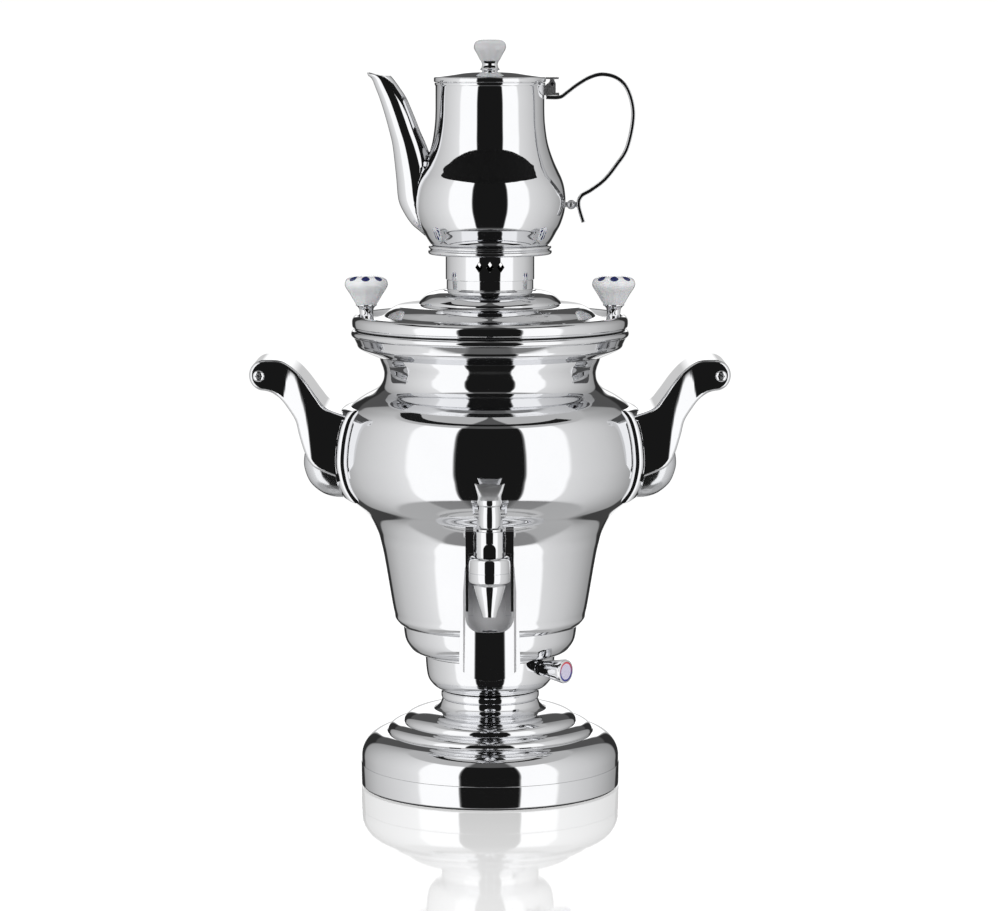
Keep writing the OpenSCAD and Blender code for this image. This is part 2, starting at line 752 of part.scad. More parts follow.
// Front outline of the paddle, grown by t.
function paddle_outline(top, t) = concat([[ear_out + t, top], [ear_out + 0.5 + t, shank_z - 13],
  [paddle_r - 1.4 + t, shank_z - 42], [paddle_r - 0.5 + t, shank_z - 56],
  [paddle_r + t, shank_z - 72.4]],
  [for (a = [-15 : -15 : -165]) [(paddle_r + t) * cos(a), shank_z - 72.4 + 11.3 * sin(a)]],
  [[-paddle_r - t, shank_z - 72.4], [0.5 - paddle_r - t, shank_z - 56],
  [1.4 - paddle_r - t, shank_z - 42], [-ear_out - 0.5 - t, shank_z - 13], [-ear_out - t, top]]);

module paddle_window(r) {
  top = shank_z - 12;
  low = shank_z - 53;
  round = 9;
  polygon(concat([[r, top]], arc(r - round, low + round, round, 0, -90, 6),
    arc(round - r, low + round, round, -90, -180, 6), [[-r, top]]));
}

module tap_paddle() {
  bow = 40;
  front = -tap_reach + 7;
  floor_y = -tap_reach + 15.5;
  sheet = 2;
  ear_y = -tap_reach;
  inside = ear_in + 2.3;
  color(bright) difference() {
    union() {
      intersection() {
        difference() {
          translate([0, front + bow, 60]) cylinder(r = bow, h = 130);
          translate([0, front + bow, 50]) cylinder(r = bow - sheet, h = 150);
        }
        difference() {
          side_plate(paddle_outline(shank_z - 13, 0), front - 5, front + 12);
          translate([0, front + 20, 0]) rotate([90, 0, 0]) linear_extrude(40)
            paddle_window(ear_out + 0.2);
        }
      }
      translate([0, floor_y + 1.5, 0]) rotate([90, 0, 0]) linear_extrude(1.5)
        paddle_window(ear_out + 0.2);
      difference() {
        translate([0, floor_y, 0]) rotate([90, 0, 0]) linear_extrude(floor_y - front - 3)
          difference() {
            paddle_window(ear_out + 0.2);
            paddle_window(ear_out - 1.3);
          }
      }
      for (s = [0, 1]) mirror([s, 0, 0]) translate([ear_in, 0, 0]) rotate([90, 0, 90])
        linear_extrude(ear_out - ear_in) polygon(concat(
          arc(ear_y, pivot_z, ear_r, 0, 180, 12), [[ear_y - ear_r, shank_z],
          [ear_y + 3, shank_z - 22], [front + 1, shank_z - 40], [floor_y, shank_z - 44],
          [floor_y, shank_z - 14], [ear_y + ear_r, shank_z + 3]]));
    }
    for (s = [-1, 1]) translate([s * (ear_in + 2.6), ear_y, pivot_z]) rotate([0, 90, 0])
      cylinder(r = pin_r + running, h = 8, center = true);
    nozzle_room(inside);
  }
}

// Room for the nozzle between the paddle's two side flanges.
module nozzle_room(w) {
  low = shank_z - 46;
  translate([-w - 0.9, -tap_reach - 20, low]) cube([2 * w + 1.8, 33.6, barrel_z + 1.9 - low]);
}

// ---- lid ----

stud_r = 2;
stem_h = 8.2;
lid_profile = concat([[lid_r - 10, lid_z], [lid_r - 1.2, lid_z]],
  smooth([[lid_r - 0.2, lid_z + 1.4], [lid_r, lid_z + 3.2], [lid_r - 0.2, lid_z + 5.6],
    [lid_r - 1.3, lid_z + 7.4], [lid_r - 2.9, lid_z + lid_rim_h]], 3),
  [[lid_r - 4.1, lid_z + lid_rim_h - 0.4], [lid_r - 4.6, ledge_z], [lid_r - 15.4, ledge_z]],
  smooth([[lid_r - 16.6, ledge_z + 0.4], [lid_r - 20, ledge_z + 1.6],
    [lid_r - 23.9, ledge_z + 4.8], [lid_r - 28, ledge_z + 7.2], [lid_r - 31.5, ledge_z + 8.2],
    [lid_r - 42, ledge_z + 8.8]], 3),
  smooth([[crown_r + 17.3, ledge_z + 9], [crown_r + 16, ledge_z + 11.2],
    [crown_r + 12.2, ledge_z + 14.6], [crown_r + 7.6, ledge_z + 16.6],
    [crown_r + 2.2, dome_z]], 3), [[crown_r - 6, dome_z]]);

module knob_places() {
  both_sides() translate([knob_place, 0, ledge_z]) children();
}

boss_r = lid_r - 42.4;

module lid_shell() {
  color(bright) difference() {
    turned_sheet(lid_profile, thin_wall);
    translate([0, 0, lid_z]) cylinder(r = boss_r, h = 40);
    knob_places() translate([0, 0, -4]) cylinder(r = stud_r, h = 8);
  }
}

// Raised middle of the lid that carries the crown, welded to the lid's pressing.
module lid_boss() {
  color(bright) intersection() {
    turned_sheet(lid_profile, thin_wall);
    translate([0, 0, lid_z]) cylinder(r = boss_r, h = 40);
  }
}

module lid_gasket() {
  color(rubber_black) ring(lid_r - 10, lid_r - 2, lid_z - gasket_h, lid_z);
}

stub_r = crown_r - 0.6;
sleeve_in = crown_r - 1.3;

module lid_stub() {
  color(bright) rotate_extrude() polygon([[sleeve_in - 2.2, dome_z], [crown_r + 1.4, dome_z],
    [crown_r + 1.4, dome_z + 0.6], [stub_r, dome_z + 0.9], [stub_r, sleeve_z - 0.25],
    [sleeve_in - running, sleeve_z - 0.25], [sleeve_in - running, sleeve_z + 5],
    [sleeve_in - 1, sleeve_z + 6], [sleeve_in - 2.2, sleeve_z + 6]]);
}

module lid_stems() {
  color(bright) knob_places() union() {
    rotate_extrude() polygon(concat([[0, 0]], smooth([[4.5, 0], [4.4, 1.6], [4.5, 4.6],
      [5.2, 6.2], [6.8, 7.6]], 3), [[6.8, stem_h], [0, stem_h]]));
    translate([0, 0, -5.4]) cylinder(r = stud_r, h = 5.5);
    ring(stud_r - 0.5, 3.8, -thin_wall - 3, -thin_wall);
  }
}

module lid_knobs() {
  color(ceramic) knob_places() rotate_extrude() polygon(concat([[0, stem_h]],
    smooth([[6.6, stem_h], [7.6, stem_h + 1.6], [10.4, stem_h + 6.4],
      [knob_r - 0.7, stem_h + 10.6], [knob_r, stem_h + 13.2], [knob_r - 1, stem_h + 16],
      [knob_r - 4, stem_h + 17.8], [knob_r - 8, stem_h + 18.5], [0, stem_h + 18.7]], 3)));
}

// ---- crown ----

module crown_sleeve() {
  color(bright) difference() {
    ring(sleeve_in, crown_r, sleeve_z, dish_z);
    for (back = [0, 180], turn = [-14.2, 0, 14.2])
      rotate([0, 0, back + turn]) translate([0, 0, sleeve_z + crown_h * 0.57])
        rotate([90, 0, 0]) linear_extrude(crown_r + 2)
          polygon([[-vent_w / 2, 0], [0, -vent_h / 2], [vent_w / 2, 0], [0, vent_h / 2]]);
  }
}

module crown_dish() {
  floor_top = dish_z + 1.2;
  color(bright) rotate_extrude() polygon(concat([[sleeve_in - 4, dish_z]],
    arc(dish_r - 1.6, dish_z + 1.6, 1.6, -90, 80, 8),
    arc(dish_r - 1.4, dish_z + 4.7, 1.1, -70, 170, 10),
    [[dish_r - 2.5, floor_top], [sleeve_in - 4, floor_top]]));
}

// ---- teapot ----

hinge_x = pot_neck_r + 4.9;
hinge_z = pot_top_z - 0.9;
hinge_pin_r = 1;
knuckle_r = 2.2;
lid_top_z = pot_top_z + 8.1;

pot_curve = smooth([[30, pot_z], [33.4, pot_z + 0.5], [pot_r - 12, pot_z + 3.2],
  [pot_r - 8.9, pot_z + 7.3], [pot_r - 6, pot_z + 12.4], [pot_r - 3.2, pot_z + 17.6],
  [pot_r - 0.7, pot_z + 25.5], [pot_r, pot_z + 33.2], [pot_r - 0.8, pot_z + 41],
  [pot_r - 2.4, pot_z + 46.6], [pot_r - 4.7, pot_z + 51.6], [pot_r - 7.2, pot_z + 57],
  [pot_neck_r + 4.1, pot_z + 63], [pot_neck_r + 2.3, pot_z + 69], [pot_neck_r + 1.2, pot_z + 75],
  [pot_neck_r + 0.3, pot_z + 83], [pot_neck_r, pot_z + 91]], 3);

module pot_core() {
  rotate_extrude() polygon(concat([[0, pot_z]], pot_curve,
    [[pot_neck_r, pot_top_z - 2], [pot_neck_r + 0.6, pot_top_z - 1.2],
      [pot_neck_r + 0.6, pot_top_z], [0, pot_top_z]]));
}

module teapot_body() {
  inner_r = pot_neck_r - thin_wall;
  color(bright) difference() {
    rotate_extrude() polygon(concat([[0, pot_z]], pot_curve,
      [[pot_neck_r, pot_top_z - 2], [pot_neck_r + 0.6, pot_top_z - 1.2],
        [pot_neck_r + 0.6, pot_top_z], [inner_r, pot_top_z]],
      backwards(beside(pot_curve, thin_wall)), [[0, pot_z + thin_wall]]));
    for (row = [0 : 3], col = [-1 : 1])
      translate([0, 5 * col, pot_z + 33 + 6 * row]) rotate([0, -90, 0])
        cylinder(r = 1.3, h = pot_r + 5);
  }
}

// Level sections of the spout: height, distance from the axis, half width out and across.
spout_rows = [[pot_z + 8, 33, 6, 4.6], [pot_z + 13.3, 37, 8.1, 6.6],
  [pot_z + 17.8, 40.2, 10, 8.4], [pot_z + 25.5, 43.3, 12, 10.2], [pot_z + 33.3, 45.2, 13.3, 11.4],
  [pot_z + 46.1, 46.6, 13.1, 11.2], [pot_z + 58.9, 49, 12, 10.2], [pot_z + 69.1, 51.6, 10.7, 9.2],
  [pot_z + 76.7, 54.2, 9.9, 8.5], [pot_z + 84.3, 56.7, 9.4, 7.9], [pot_z + 91.1, 59.1, 9, 7.4],
  [pot_z + 98.1, 61.8, 8.6, 6.9], [pot_z + 104.8, 65.3, 7.7, 6.4],
  [pot_z + 109.9, 68.2, 6.9, 5.9], [pot_z + 112.4, 70.9, 7.3, 5.7]];

// The spout's skin moved inwards by less, and raised by more at its mouth.
module spout_skin(less, more) {
  sides = 24;
  rings = len(spout_rows);
  ends = rings * sides;
  points = concat([for (i = [0 : rings - 1], s = [0 : sides - 1])
    let (row = spout_rows[i], a = 360 * s / sides)
    [-row[1] - (row[2] - less) * cos(a), (row[3] - less) * sin(a),
      row[0] + (i == rings - 1 ? more + 1.4 * cos(a) : 0)]],
    [for (i = [0, rings - 1]) [-spout_rows[i][1], 0, spout_rows[i][0] + (i > 0 ? more : 0)]]);
  faces = concat([for (s = [0 : sides - 1]) [(s + 1) % sides, s, ends]],
    [for (i = [0 : rings - 2], s = [0 : sides - 1], half = [0, 1])
      let (n = (s + 1) % sides, b = i * sides)
      half == 0 ? [b + s, b + sides + n, b + sides + s] : [b + s, b + n, b + sides + n]],
    [for (s = [0 : sides - 1])
      [(rings - 1) * sides + s, (rings - 1) * sides + (s + 1) % sides, ends + 1]]);
  polyhedron(points, faces);
}

module teapot_spout() {
  color(bright) difference() {
    spout_skin(0, 0);
    spout_skin(thin_wall, 1);
    pot_core();
  }
}

strap_line = smooth([[pot_neck_r + 0.9, pot_top_z - 9.3], [44.3, pot_top_z - 9.2],
  [49.6, pot_top_z - 5.8], [55.1, pot_top_z - 1.6], [63.4, pot_top_z + 3.3],
  [71.6, pot_top_z + 5.2], [80.8, pot_top_z + 2.8], [87.9, pot_top_z - 5.2],
  [91.2, pot_top_z - 20.7], [87.4, pot_top_z - 41], [80.4, pot_top_z - 52.4],
  [73, pot_top_z - 61.6], [64.7, pot_top_z - 67.9], [58.4, pot_top_z - 71.8],
  [56.6, pot_top_z - 77.6], [59.6, pot_top_z - 88.6]], 4);

module teapot_handle() {
  color(bright) strap(strap_line, strap_t, strap_w);
}

module handle_post() {
  post_z = pot_z + 30.1;
  color(bright) difference() {
    union() {
      translate([pot_r - 2, 0, post_z]) rotate([0, 90, 0]) cylinder(r = 1.7, h = 9.8);
      translate([pot_r + 3.6, 0, post_z]) sphere(r = 3);
    }
    pot_core();
    strap(strap_line, strap_t, strap_w);
  }
}

module hinge_bracket() {
  ear_w = 2.2;
  color(bright) difference() {
    union() {
      side_plate([[pot_neck_r - 1, pot_top_z - 8], [hinge_x + 4.4, pot_top_z - 8],
        [hinge_x + 4.4, pot_top_z - 6.4], [pot_neck_r - 1, pot_top_z - 6.4]], -5.4, 5.4);
      for (y = [-5.4, 5.4 - ear_w]) side_plate(concat([[pot_neck_r - 1, pot_top_z - 8],
        [hinge_x + knuckle_r, pot_top_z - 8]], arc(hinge_x, hinge_z, knuckle_r, 0, 150, 8),
        [[pot_neck_r - 1, pot_top_z - 3]]), y, y + ear_w);
    }
    translate([hinge_x, 0, hinge_z]) rotate([90, 0, 0])
      cylinder(r = hinge_pin_r, h = 20, center = true);
    pot_core();
  }
}

module hinge_pin() {
  color(steel) translate([hinge_x, 0, hinge_z]) rotate([90, 0, 0])
    cylinder(r = hinge_pin_r, h = 11.6, center = true);
}

pot_rim_r = pot_neck_r + 1;

module teapot_lid() {
  base_z = pot_top_z + seat_gap;
  plug_r = pot_neck_r - thin_wall - 0.5;
  cover = smooth([[pot_rim_r, base_z + 2.4], [pot_rim_r - 0.8, base_z + 3.4],
    [30, base_z + 4.8], [22, base_z + 6.4], [13, base_z + 7.4], [6, lid_top_z]], 3);
  color(bright) rotate_extrude() polygon(concat([[plug_r - thin_wall, pot_top_z - 3],
    [plug_r, pot_top_z - 3], [plug_r, base_z], [pot_rim_r, base_z]], cover,
    [[0, lid_top_z], [0, lid_top_z - thin_wall]], backwards(beside(cover, thin_wall)),
    [[plug_r - thin_wall, base_z + thin_wall]]));
}

module thumb_piece() {
  top = pot_top_z + 3.4;
  color(bright) difference() {
    union() {
      side_plate([[pot_rim_r - 1.2, top - 1.2], [hinge_x + 4.2, top - 1.2],
        [hinge_x + 4.2, top], [pot_rim_r - 1.2, top]], -4.2, 4.2);
      side_plate(concat(arc(hinge_x, hinge_z, knuckle_r, 180, 360, 10),
        [[hinge_x + 1.2, top - 1], [hinge_x - 1.2, top - 1]]), -2.9, 2.9);
    }
    translate([hinge_x, 0, hinge_z]) rotate([90, 0, 0])
      cylinder(r = hinge_pin_r + running, h = 20, center = true);
    rotate_extrude() square([pot_rim_r, pot_top_z + 10]);
  }
}

module pot_knob_stem() {
  color(bright) rotate_extrude() polygon(concat([[0, lid_top_z], [6.3, lid_top_z],
    [6.3, lid_top_z + 0.6]], smooth([[5.4, lid_top_z + 1.2], [4.9, lid_top_z + 3.4],
    [5.6, lid_top_z + 5.4]], 3), [[0, lid_top_z + 5.4]]));
}

module pot_knob() {
  foot = lid_top_z + 5.4;
  h = pot_knob_h;
  color(ceramic) rotate_extrude() polygon(concat([[0, foot]], smooth([[5.4, foot],
    [6.3, foot + 0.9], [8.2, foot + 0.32 * h], [9.8, foot + 0.52 * h], [10.2, foot + 0.66 * h],
    [9.4, foot + 0.84 * h], [6.8, foot + 0.96 * h], [0, foot + h]], 3)));
}

rubber_foot();
bottom_cover();
base_ring();
base_shell();
base_fixings();
cord_gland();
terminal_block();
tie_rod();
waist_collar();
lower_cup();
support_cup();
thermostat_body();
thermostat_seal();
thermostat_spindle();
thermostat_knob();
dial_disc();
vessel();
vessel_shoulder();
vessel_floor();
top_collar();
heating_element();
element_glands();
thermal_cutout();
left_handle();
right_handle();
handle_grips();
handle_saddles();
left_flange();
right_flange();
grip_screws();
saddle_screws();
tap_shank();
tap_washer();
tap_nut();
tap_body();
tap_bonnet();
tap_key();
tap_nozzle();
tap_paddle();
paddle_pins();
valve_plunger();
valve_seal();
lid_shell();
lid_boss();
lid_gasket();
lid_stub();
lid_stems();
lid_knobs();
crown_sleeve();
crown_dish();
teapot_body();
teapot_spout();
teapot_handle();
handle_post();
hinge_bracket();
hinge_pin();
teapot_lid();
thumb_piece();
pot_knob_stem();
pot_knob();
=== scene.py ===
import json
from math import atan2, cos, pi, radians, sin, sqrt

import bmesh
import bpy
from mathutils import Matrix, Vector

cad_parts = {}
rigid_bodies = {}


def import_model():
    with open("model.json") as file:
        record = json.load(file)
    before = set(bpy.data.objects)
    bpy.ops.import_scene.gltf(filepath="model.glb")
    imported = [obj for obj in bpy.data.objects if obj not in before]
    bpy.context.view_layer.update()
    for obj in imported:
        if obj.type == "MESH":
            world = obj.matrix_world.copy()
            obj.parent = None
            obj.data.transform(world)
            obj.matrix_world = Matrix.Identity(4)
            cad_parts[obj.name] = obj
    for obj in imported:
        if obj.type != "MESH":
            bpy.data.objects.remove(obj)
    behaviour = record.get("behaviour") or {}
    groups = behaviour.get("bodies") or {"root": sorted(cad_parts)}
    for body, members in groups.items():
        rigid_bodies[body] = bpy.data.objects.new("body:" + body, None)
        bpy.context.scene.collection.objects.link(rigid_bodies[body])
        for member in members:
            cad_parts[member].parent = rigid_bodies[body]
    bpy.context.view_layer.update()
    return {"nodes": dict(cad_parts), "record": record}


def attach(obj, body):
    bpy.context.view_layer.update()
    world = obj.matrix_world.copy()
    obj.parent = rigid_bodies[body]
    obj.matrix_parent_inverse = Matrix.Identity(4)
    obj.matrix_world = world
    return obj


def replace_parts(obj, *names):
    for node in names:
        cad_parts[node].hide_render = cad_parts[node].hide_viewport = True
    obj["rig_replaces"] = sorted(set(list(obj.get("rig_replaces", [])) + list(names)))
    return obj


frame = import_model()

mm = 0.001
print("samovar: frame loaded,", len(frame["nodes"]), "solids")

# The camera looks slightly down on the samovar from 2.2 m; the focal length is in pixels.
camera = {"distance": 2.175, "height": 0.4702, "pitch": 6.7, "focal": 3400, "aside": 0.0064,
          "photoWidth": 1000, "sensor": 36}

camData = bpy.data.cameras.new("photoCamera")
camData.sensor_width = camera["sensor"]
camData.lens = camera["focal"] * camera["sensor"] / camera["photoWidth"]
camData.clip_end = 60
camObject = bpy.data.objects.new("photoCamera", camData)
bpy.context.scene.collection.objects.link(camObject)
camObject.location = (camera["aside"], -camera["distance"], camera["height"])
camObject.rotation_euler = (radians(90 - camera["pitch"]), 0, 0)
bpy.context.scene.camera = camObject
bpy.context.scene.view_settings.view_transform = "Standard"


# Helpers for curves, all in millimetres. A smooth curve passes through every point given.
def smoothCurve(points, steps):
    curve = []
    last = len(points) - 1
    for i in range(last):
        a, b = points[max(i - 1, 0)], points[i]
        c, d = points[i + 1], points[min(i + 2, last)]
        for k in range(steps):
            t = k / steps
            curve.append(tuple(
                0.5 * (2 * q + (r - p) * t + (2 * p - 5 * q + 4 * r - s) * t * t
                       + (3 * q - p - 3 * r + s) * t * t * t)
                for p, q, r, s in zip(a, b, c, d)))
    curve.append(tuple(points[last]))
    return curve


def arcPoints(x, z, r, start, end, steps):
    angles = [radians(start + (end - start) * k / steps) for k in range(steps + 1)]
    return [(x + r * cos(a), z + r * sin(a)) for a in angles]


# A quarter of an oval from an upright wall over to a flat top.
def crest(r0, z0, r1, z1, steps):
    angles = [pi / 2 * k / steps for k in range(steps + 1)]
    return [(r1 + (r0 - r1) * cos(a), z0 + (z1 - z0) * sin(a)) for a in angles]


# The same line moved sideways by t.
def beside(points, t):
    moved = []
    for i, p in enumerate(points):
        a, b = points[max(i - 1, 0)], points[min(i + 1, len(points) - 1)]
        dx, dz = b[0] - a[0], b[1] - a[1]
        n = sqrt(dx * dx + dz * dz)
        moved.append((p[0] - t * dz / n, p[1] + t * dx / n))
    return moved


def sheetOf(points, t):
    return points + beside(points, t)[::-1]


# The second coordinate of a curve where its first one is given.
def valueAt(curve, at):
    for (a, low), (b, high) in zip(curve, curve[1:]):
        if a <= at <= b:
            return low + (high - low) * (at - a) / max(b - a, 1e-6)
    return curve[-1][1]


# Materials: steel in several finishes, glaze, plastic and rubber.
def nodeMaterial(name):
    mat = bpy.data.materials.new(name)
    mat.use_nodes = True
    tree = mat.node_tree
    shader = tree.nodes["Principled BSDF"]
    coords = tree.nodes.new("ShaderNodeTexCoord")
    return mat, tree, shader, coords.outputs["Object"]


# A value, or the output of another node, goes into an input.
def feed(socket, value):
    if isinstance(value, bpy.types.NodeSocket):
        socket.id_data.links.new(value, socket)
    else:
        socket.default_value = value


def feedAll(node, values):
    for name, value in values.items():
        feed(node.inputs[name], value)


def addNode(tree, kind, **values):
    node = tree.nodes.new(kind)
    for name, value in values.items():
        if name in node.inputs:
            feed(node.inputs[name], value)
        else:
            setattr(node, name, value)
    return node


def rampBetween(tree, source, low, high, start=0, end=1):
    ramp = addNode(tree, "ShaderNodeMapRange", Value=source)
    feedAll(ramp, {"From Min": start, "From Max": end, "To Min": low, "To Max": high})
    return ramp.outputs["Result"]


def mixColors(tree, factor, a, b):
    mix = addNode(tree, "ShaderNodeMix", data_type="RGBA", Factor=factor, A=a, B=b)
    return mix.outputs["Result"]


def calc(tree, operation, a, b=0):
    node = addNode(tree, "ShaderNodeMath", operation=operation)
    feed(node.inputs[0], a)
    feed(node.inputs[1], b)
    return node.outputs[0]


polish = {
    "mirror": {"color": (0.87, 0.875, 0.89), "rough": (0.018, 0.05), "spread": 22, "bump": 0.02},
    "satin": {"color": (0.60, 0.61, 0.63), "rough": (0.24, 0.38), "spread": 60, "bump": 0.06},
    "saddle": {"color": (0.80, 0.81, 0.83), "rough": (0.12, 0.2), "spread": 40, "bump": 0.03},
    "blasted": {"color": (0.90, 0.90, 0.91), "rough": (0.85, 1.0), "spread": 90, "bump": 0.1},
    "brushed": {"color": (0.87, 0.875, 0.89), "rough": (0.3, 0.4), "spread": 60, "bump": 0.1},
    # near-black steel whose colour is painted shade, used on the inside of the crown sleeve
    "paintedShade": {"color": (0.06, 0.06, 0.062), "rough": (0.5, 0.6), "spread": 60, "bump": 0.1},
    "inside": {"color": (0.62, 0.63, 0.65), "rough": (0.16, 0.3), "spread": 30, "bump": 0.05},
}


def metal(name, look):
    mat, tree, shader, coords = nodeMaterial(name)
    cloudy = addNode(tree, "ShaderNodeTexNoise", Scale=look["spread"], Detail=4.0, Roughness=0.6,
                     Vector=coords).outputs["Fac"]
    darker = [c * 0.93 for c in look["color"]]
    # polishing lines run round the turned pieces: noise squeezed along the height
    squeeze = addNode(tree, "ShaderNodeMapping", Scale=(0.6, 0.6, 60), Vector=coords)
    lines = addNode(tree, "ShaderNodeTexNoise", Scale=26.0, Detail=5.0,
                    Vector=squeeze.outputs["Vector"])
    bump = addNode(tree, "ShaderNodeBump", Strength=look["bump"], Distance=0.0001,
                   Height=lines.outputs["Fac"])
    feedAll(shader, {"Metallic": 1, "Roughness": rampBetween(tree, cloudy, *look["rough"]),
                     "Base Color": mixColors(tree, cloudy, (*look["color"], 1), (*darker, 1)),
                     "Normal": bump.outputs["Normal"]})
    return mat


def plastic(name, color, rough, grain, bump):
    mat, tree, shader, coords = nodeMaterial(name)
    speckle = addNode(tree, "ShaderNodeTexNoise", Scale=grain, Detail=6.0, Roughness=0.7,
                      Vector=coords).outputs["Fac"]
    darker = [c * 0.8 for c in color]
    relief = addNode(tree, "ShaderNodeBump", Strength=bump, Distance=0.0004, Height=speckle)
    feedAll(shader, {"Base Color": mixColors(tree, speckle, (*darker, 1), (*color, 1)),
                     "Roughness": rampBetween(tree, speckle, rough * 0.85, rough * 1.15),
                     "Normal": relief.outputs["Normal"]})
    return mat


mirrorSteel = metal("mirrorSteel", polish["mirror"])
satinSteel = metal("satinSteel", polish["satin"])
saddleSteel = metal("saddleSteel", polish["saddle"])
insideSteel = metal("insideSteel", polish["inside"])
blastedSteel = metal("blastedSteel", polish["blasted"])
brushedSteel = metal("brushedSteel", polish["brushed"])
paintedShadeSteel = metal("paintedShadeSteel", polish["paintedShade"])
blackRubber = plastic("blackRubber", (0.022, 0.022, 0.024), 0.6, 900, 0.3)
blackPlastic = plastic("blackPlastic", (0.02, 0.02, 0.022), 0.4, 700, 0.2)
creamPlastic = plastic("creamPlastic", (0.78, 0.75, 0.64), 0.45, 500, 0.15)

slotLooks = {
    "bright_steel": mirrorSteel, "inner_steel": satinSteel, "saddle_steel": saddleSteel,
    "black_insulator": blackPlastic, "black_rubber": blackRubber, "cream_plastic": creamPlastic,
}
bodyOf = {n: b for b, ns in frame["record"]["behaviour"]["bodies"].items() for n in ns}
slotOf = {p["node"]: p["material_slot"] for p in frame["record"]["subparts"]}
print("samovar: materials made")


# Making pieces. A bmesh becomes a mesh here, and a mesh an object at the origin.
def meshFrom(bm, name):
    mesh = bpy.data.meshes.new(name)
    bm.to_mesh(mesh)
    bm.free()
    return mesh


def placeObject(name, data):
    thing = bpy.data.objects.new(name, data)
    bpy.context.scene.collection.objects.link(thing)
    return thing


# A closed ring of edges through a list of points.
def ringOf(bm, points):
    verts = [bm.verts.new(p) for p in points]
    return [bm.edges.new((a, b)) for a, b in zip(verts, verts[1:] + verts[:1])]


# Rings bridged one to the next.
def bridgeRings(bm, rings):
    for near, far in zip(rings, rings[1:]):
        bmesh.ops.bridge_loops(bm, edges=near + far)


def closeRings(bm, rings):
    bridgeRings(bm, rings)
    for ring in (rings[0], rings[-1]):
        bmesh.ops.edgeloop_fill(bm, edges=ring)


def finishPiece(bm, name, look, node, others=(), sharpAt=32, thickness=0, bevel=0):
    for face in bm.faces:
        face.smooth = True
    for edge in bm.edges:
        if len(edge.link_faces) == 2 and edge.calc_face_angle() > radians(sharpAt):
            edge.smooth = False
    mesh = meshFrom(bm, name)
    piece = placeObject(name, mesh)
    mesh.materials.append(look)
    if thickness:
        wall = piece.modifiers.new("wall", "SOLIDIFY")
        wall.thickness = thickness * mm
        wall.offset = -1
        wall.use_even_offset = True
    if bevel:
        soft = piece.modifiers.new("softEdges", "BEVEL")
        soft.width = bevel * mm
        soft.segments = 3
        soft.limit_method = "ANGLE"
        soft.angle_limit = radians(sharpAt)
        soft.harden_normals = True
    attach(piece, bodyOf[node])
    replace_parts(piece, node, *others)
    return piece


def spinProfile(bm, points, steps, closed=False):
    verts = [bm.verts.new(p) for p in points]
    for a, b in zip(verts, verts[1:]):
        bm.edges.new((a, b))
    if closed:
        bm.edges.new((verts[-1], verts[0]))
    bmesh.ops.spin(bm, geom=bm.verts[:] + bm.edges[:], cent=(0, 0, 0), axis=(0, 0, 1),
                   angle=2 * pi, steps=steps, use_merge=True)


# A closed or open profile of (radius, height) spun about an upright axis, or about the axis of place.
def turned(name, profile, node, look=mirrorSteel, steps=160, closed=True, place=None, others=(),
           sharpAt=32, shape=None):
    bm = bmesh.new()
    spinProfile(bm, [(r * mm, 0, z * mm) for r, z in profile], steps, closed)
    bmesh.ops.remove_doubles(bm, verts=bm.verts[:], dist=1e-6)
    bmesh.ops.recalc_face_normals(bm, faces=bm.faces[:])
    if shape:
        shape(bm)
    if place is not None:
        bmesh.ops.transform(bm, matrix=place, verts=bm.verts[:])
    return finishPiece(bm, name, look, node, others, sharpAt)


# A merged copy of a CAD solid with flat parts joined into single faces, for small fittings.
def fromSolid(node, look=None, bevel=0):
    bm = bmesh.new()
    bm.from_mesh(frame["nodes"][node].data)
    bmesh.ops.remove_doubles(bm, verts=bm.verts[:], dist=2e-6)
    bmesh.ops.dissolve_limit(bm, angle_limit=radians(0.6), verts=bm.verts[:], edges=bm.edges[:])
    return finishPiece(bm, node + "Dressed", look or slotLooks[slotOf[node]], node, bevel=bevel)


# Heights of the stack's levels, in millimetres from the table.
level = {
    "foot": 1.0, "ringTop": 15.2, "waist": 56.8, "cup": 62.2, "support": 85.3, "vessel": 105.2,
    "vesselTop": 295.0, "collarTop": 296.2, "collar": 279.4, "lid": 297.2, "ledge": 304.0,
    "dome": 321.6, "sleeve": 328.5, "dish": 344.4, "pot": 345.9, "potTop": 453.5, "potLidTop": 461.6,
}

# The base: a plain ring under a stepped shell, and the bead at the waist.
base = {"radius": 83.7, "wall": 1.2, "lip": 67.7, "waist": 31.1}


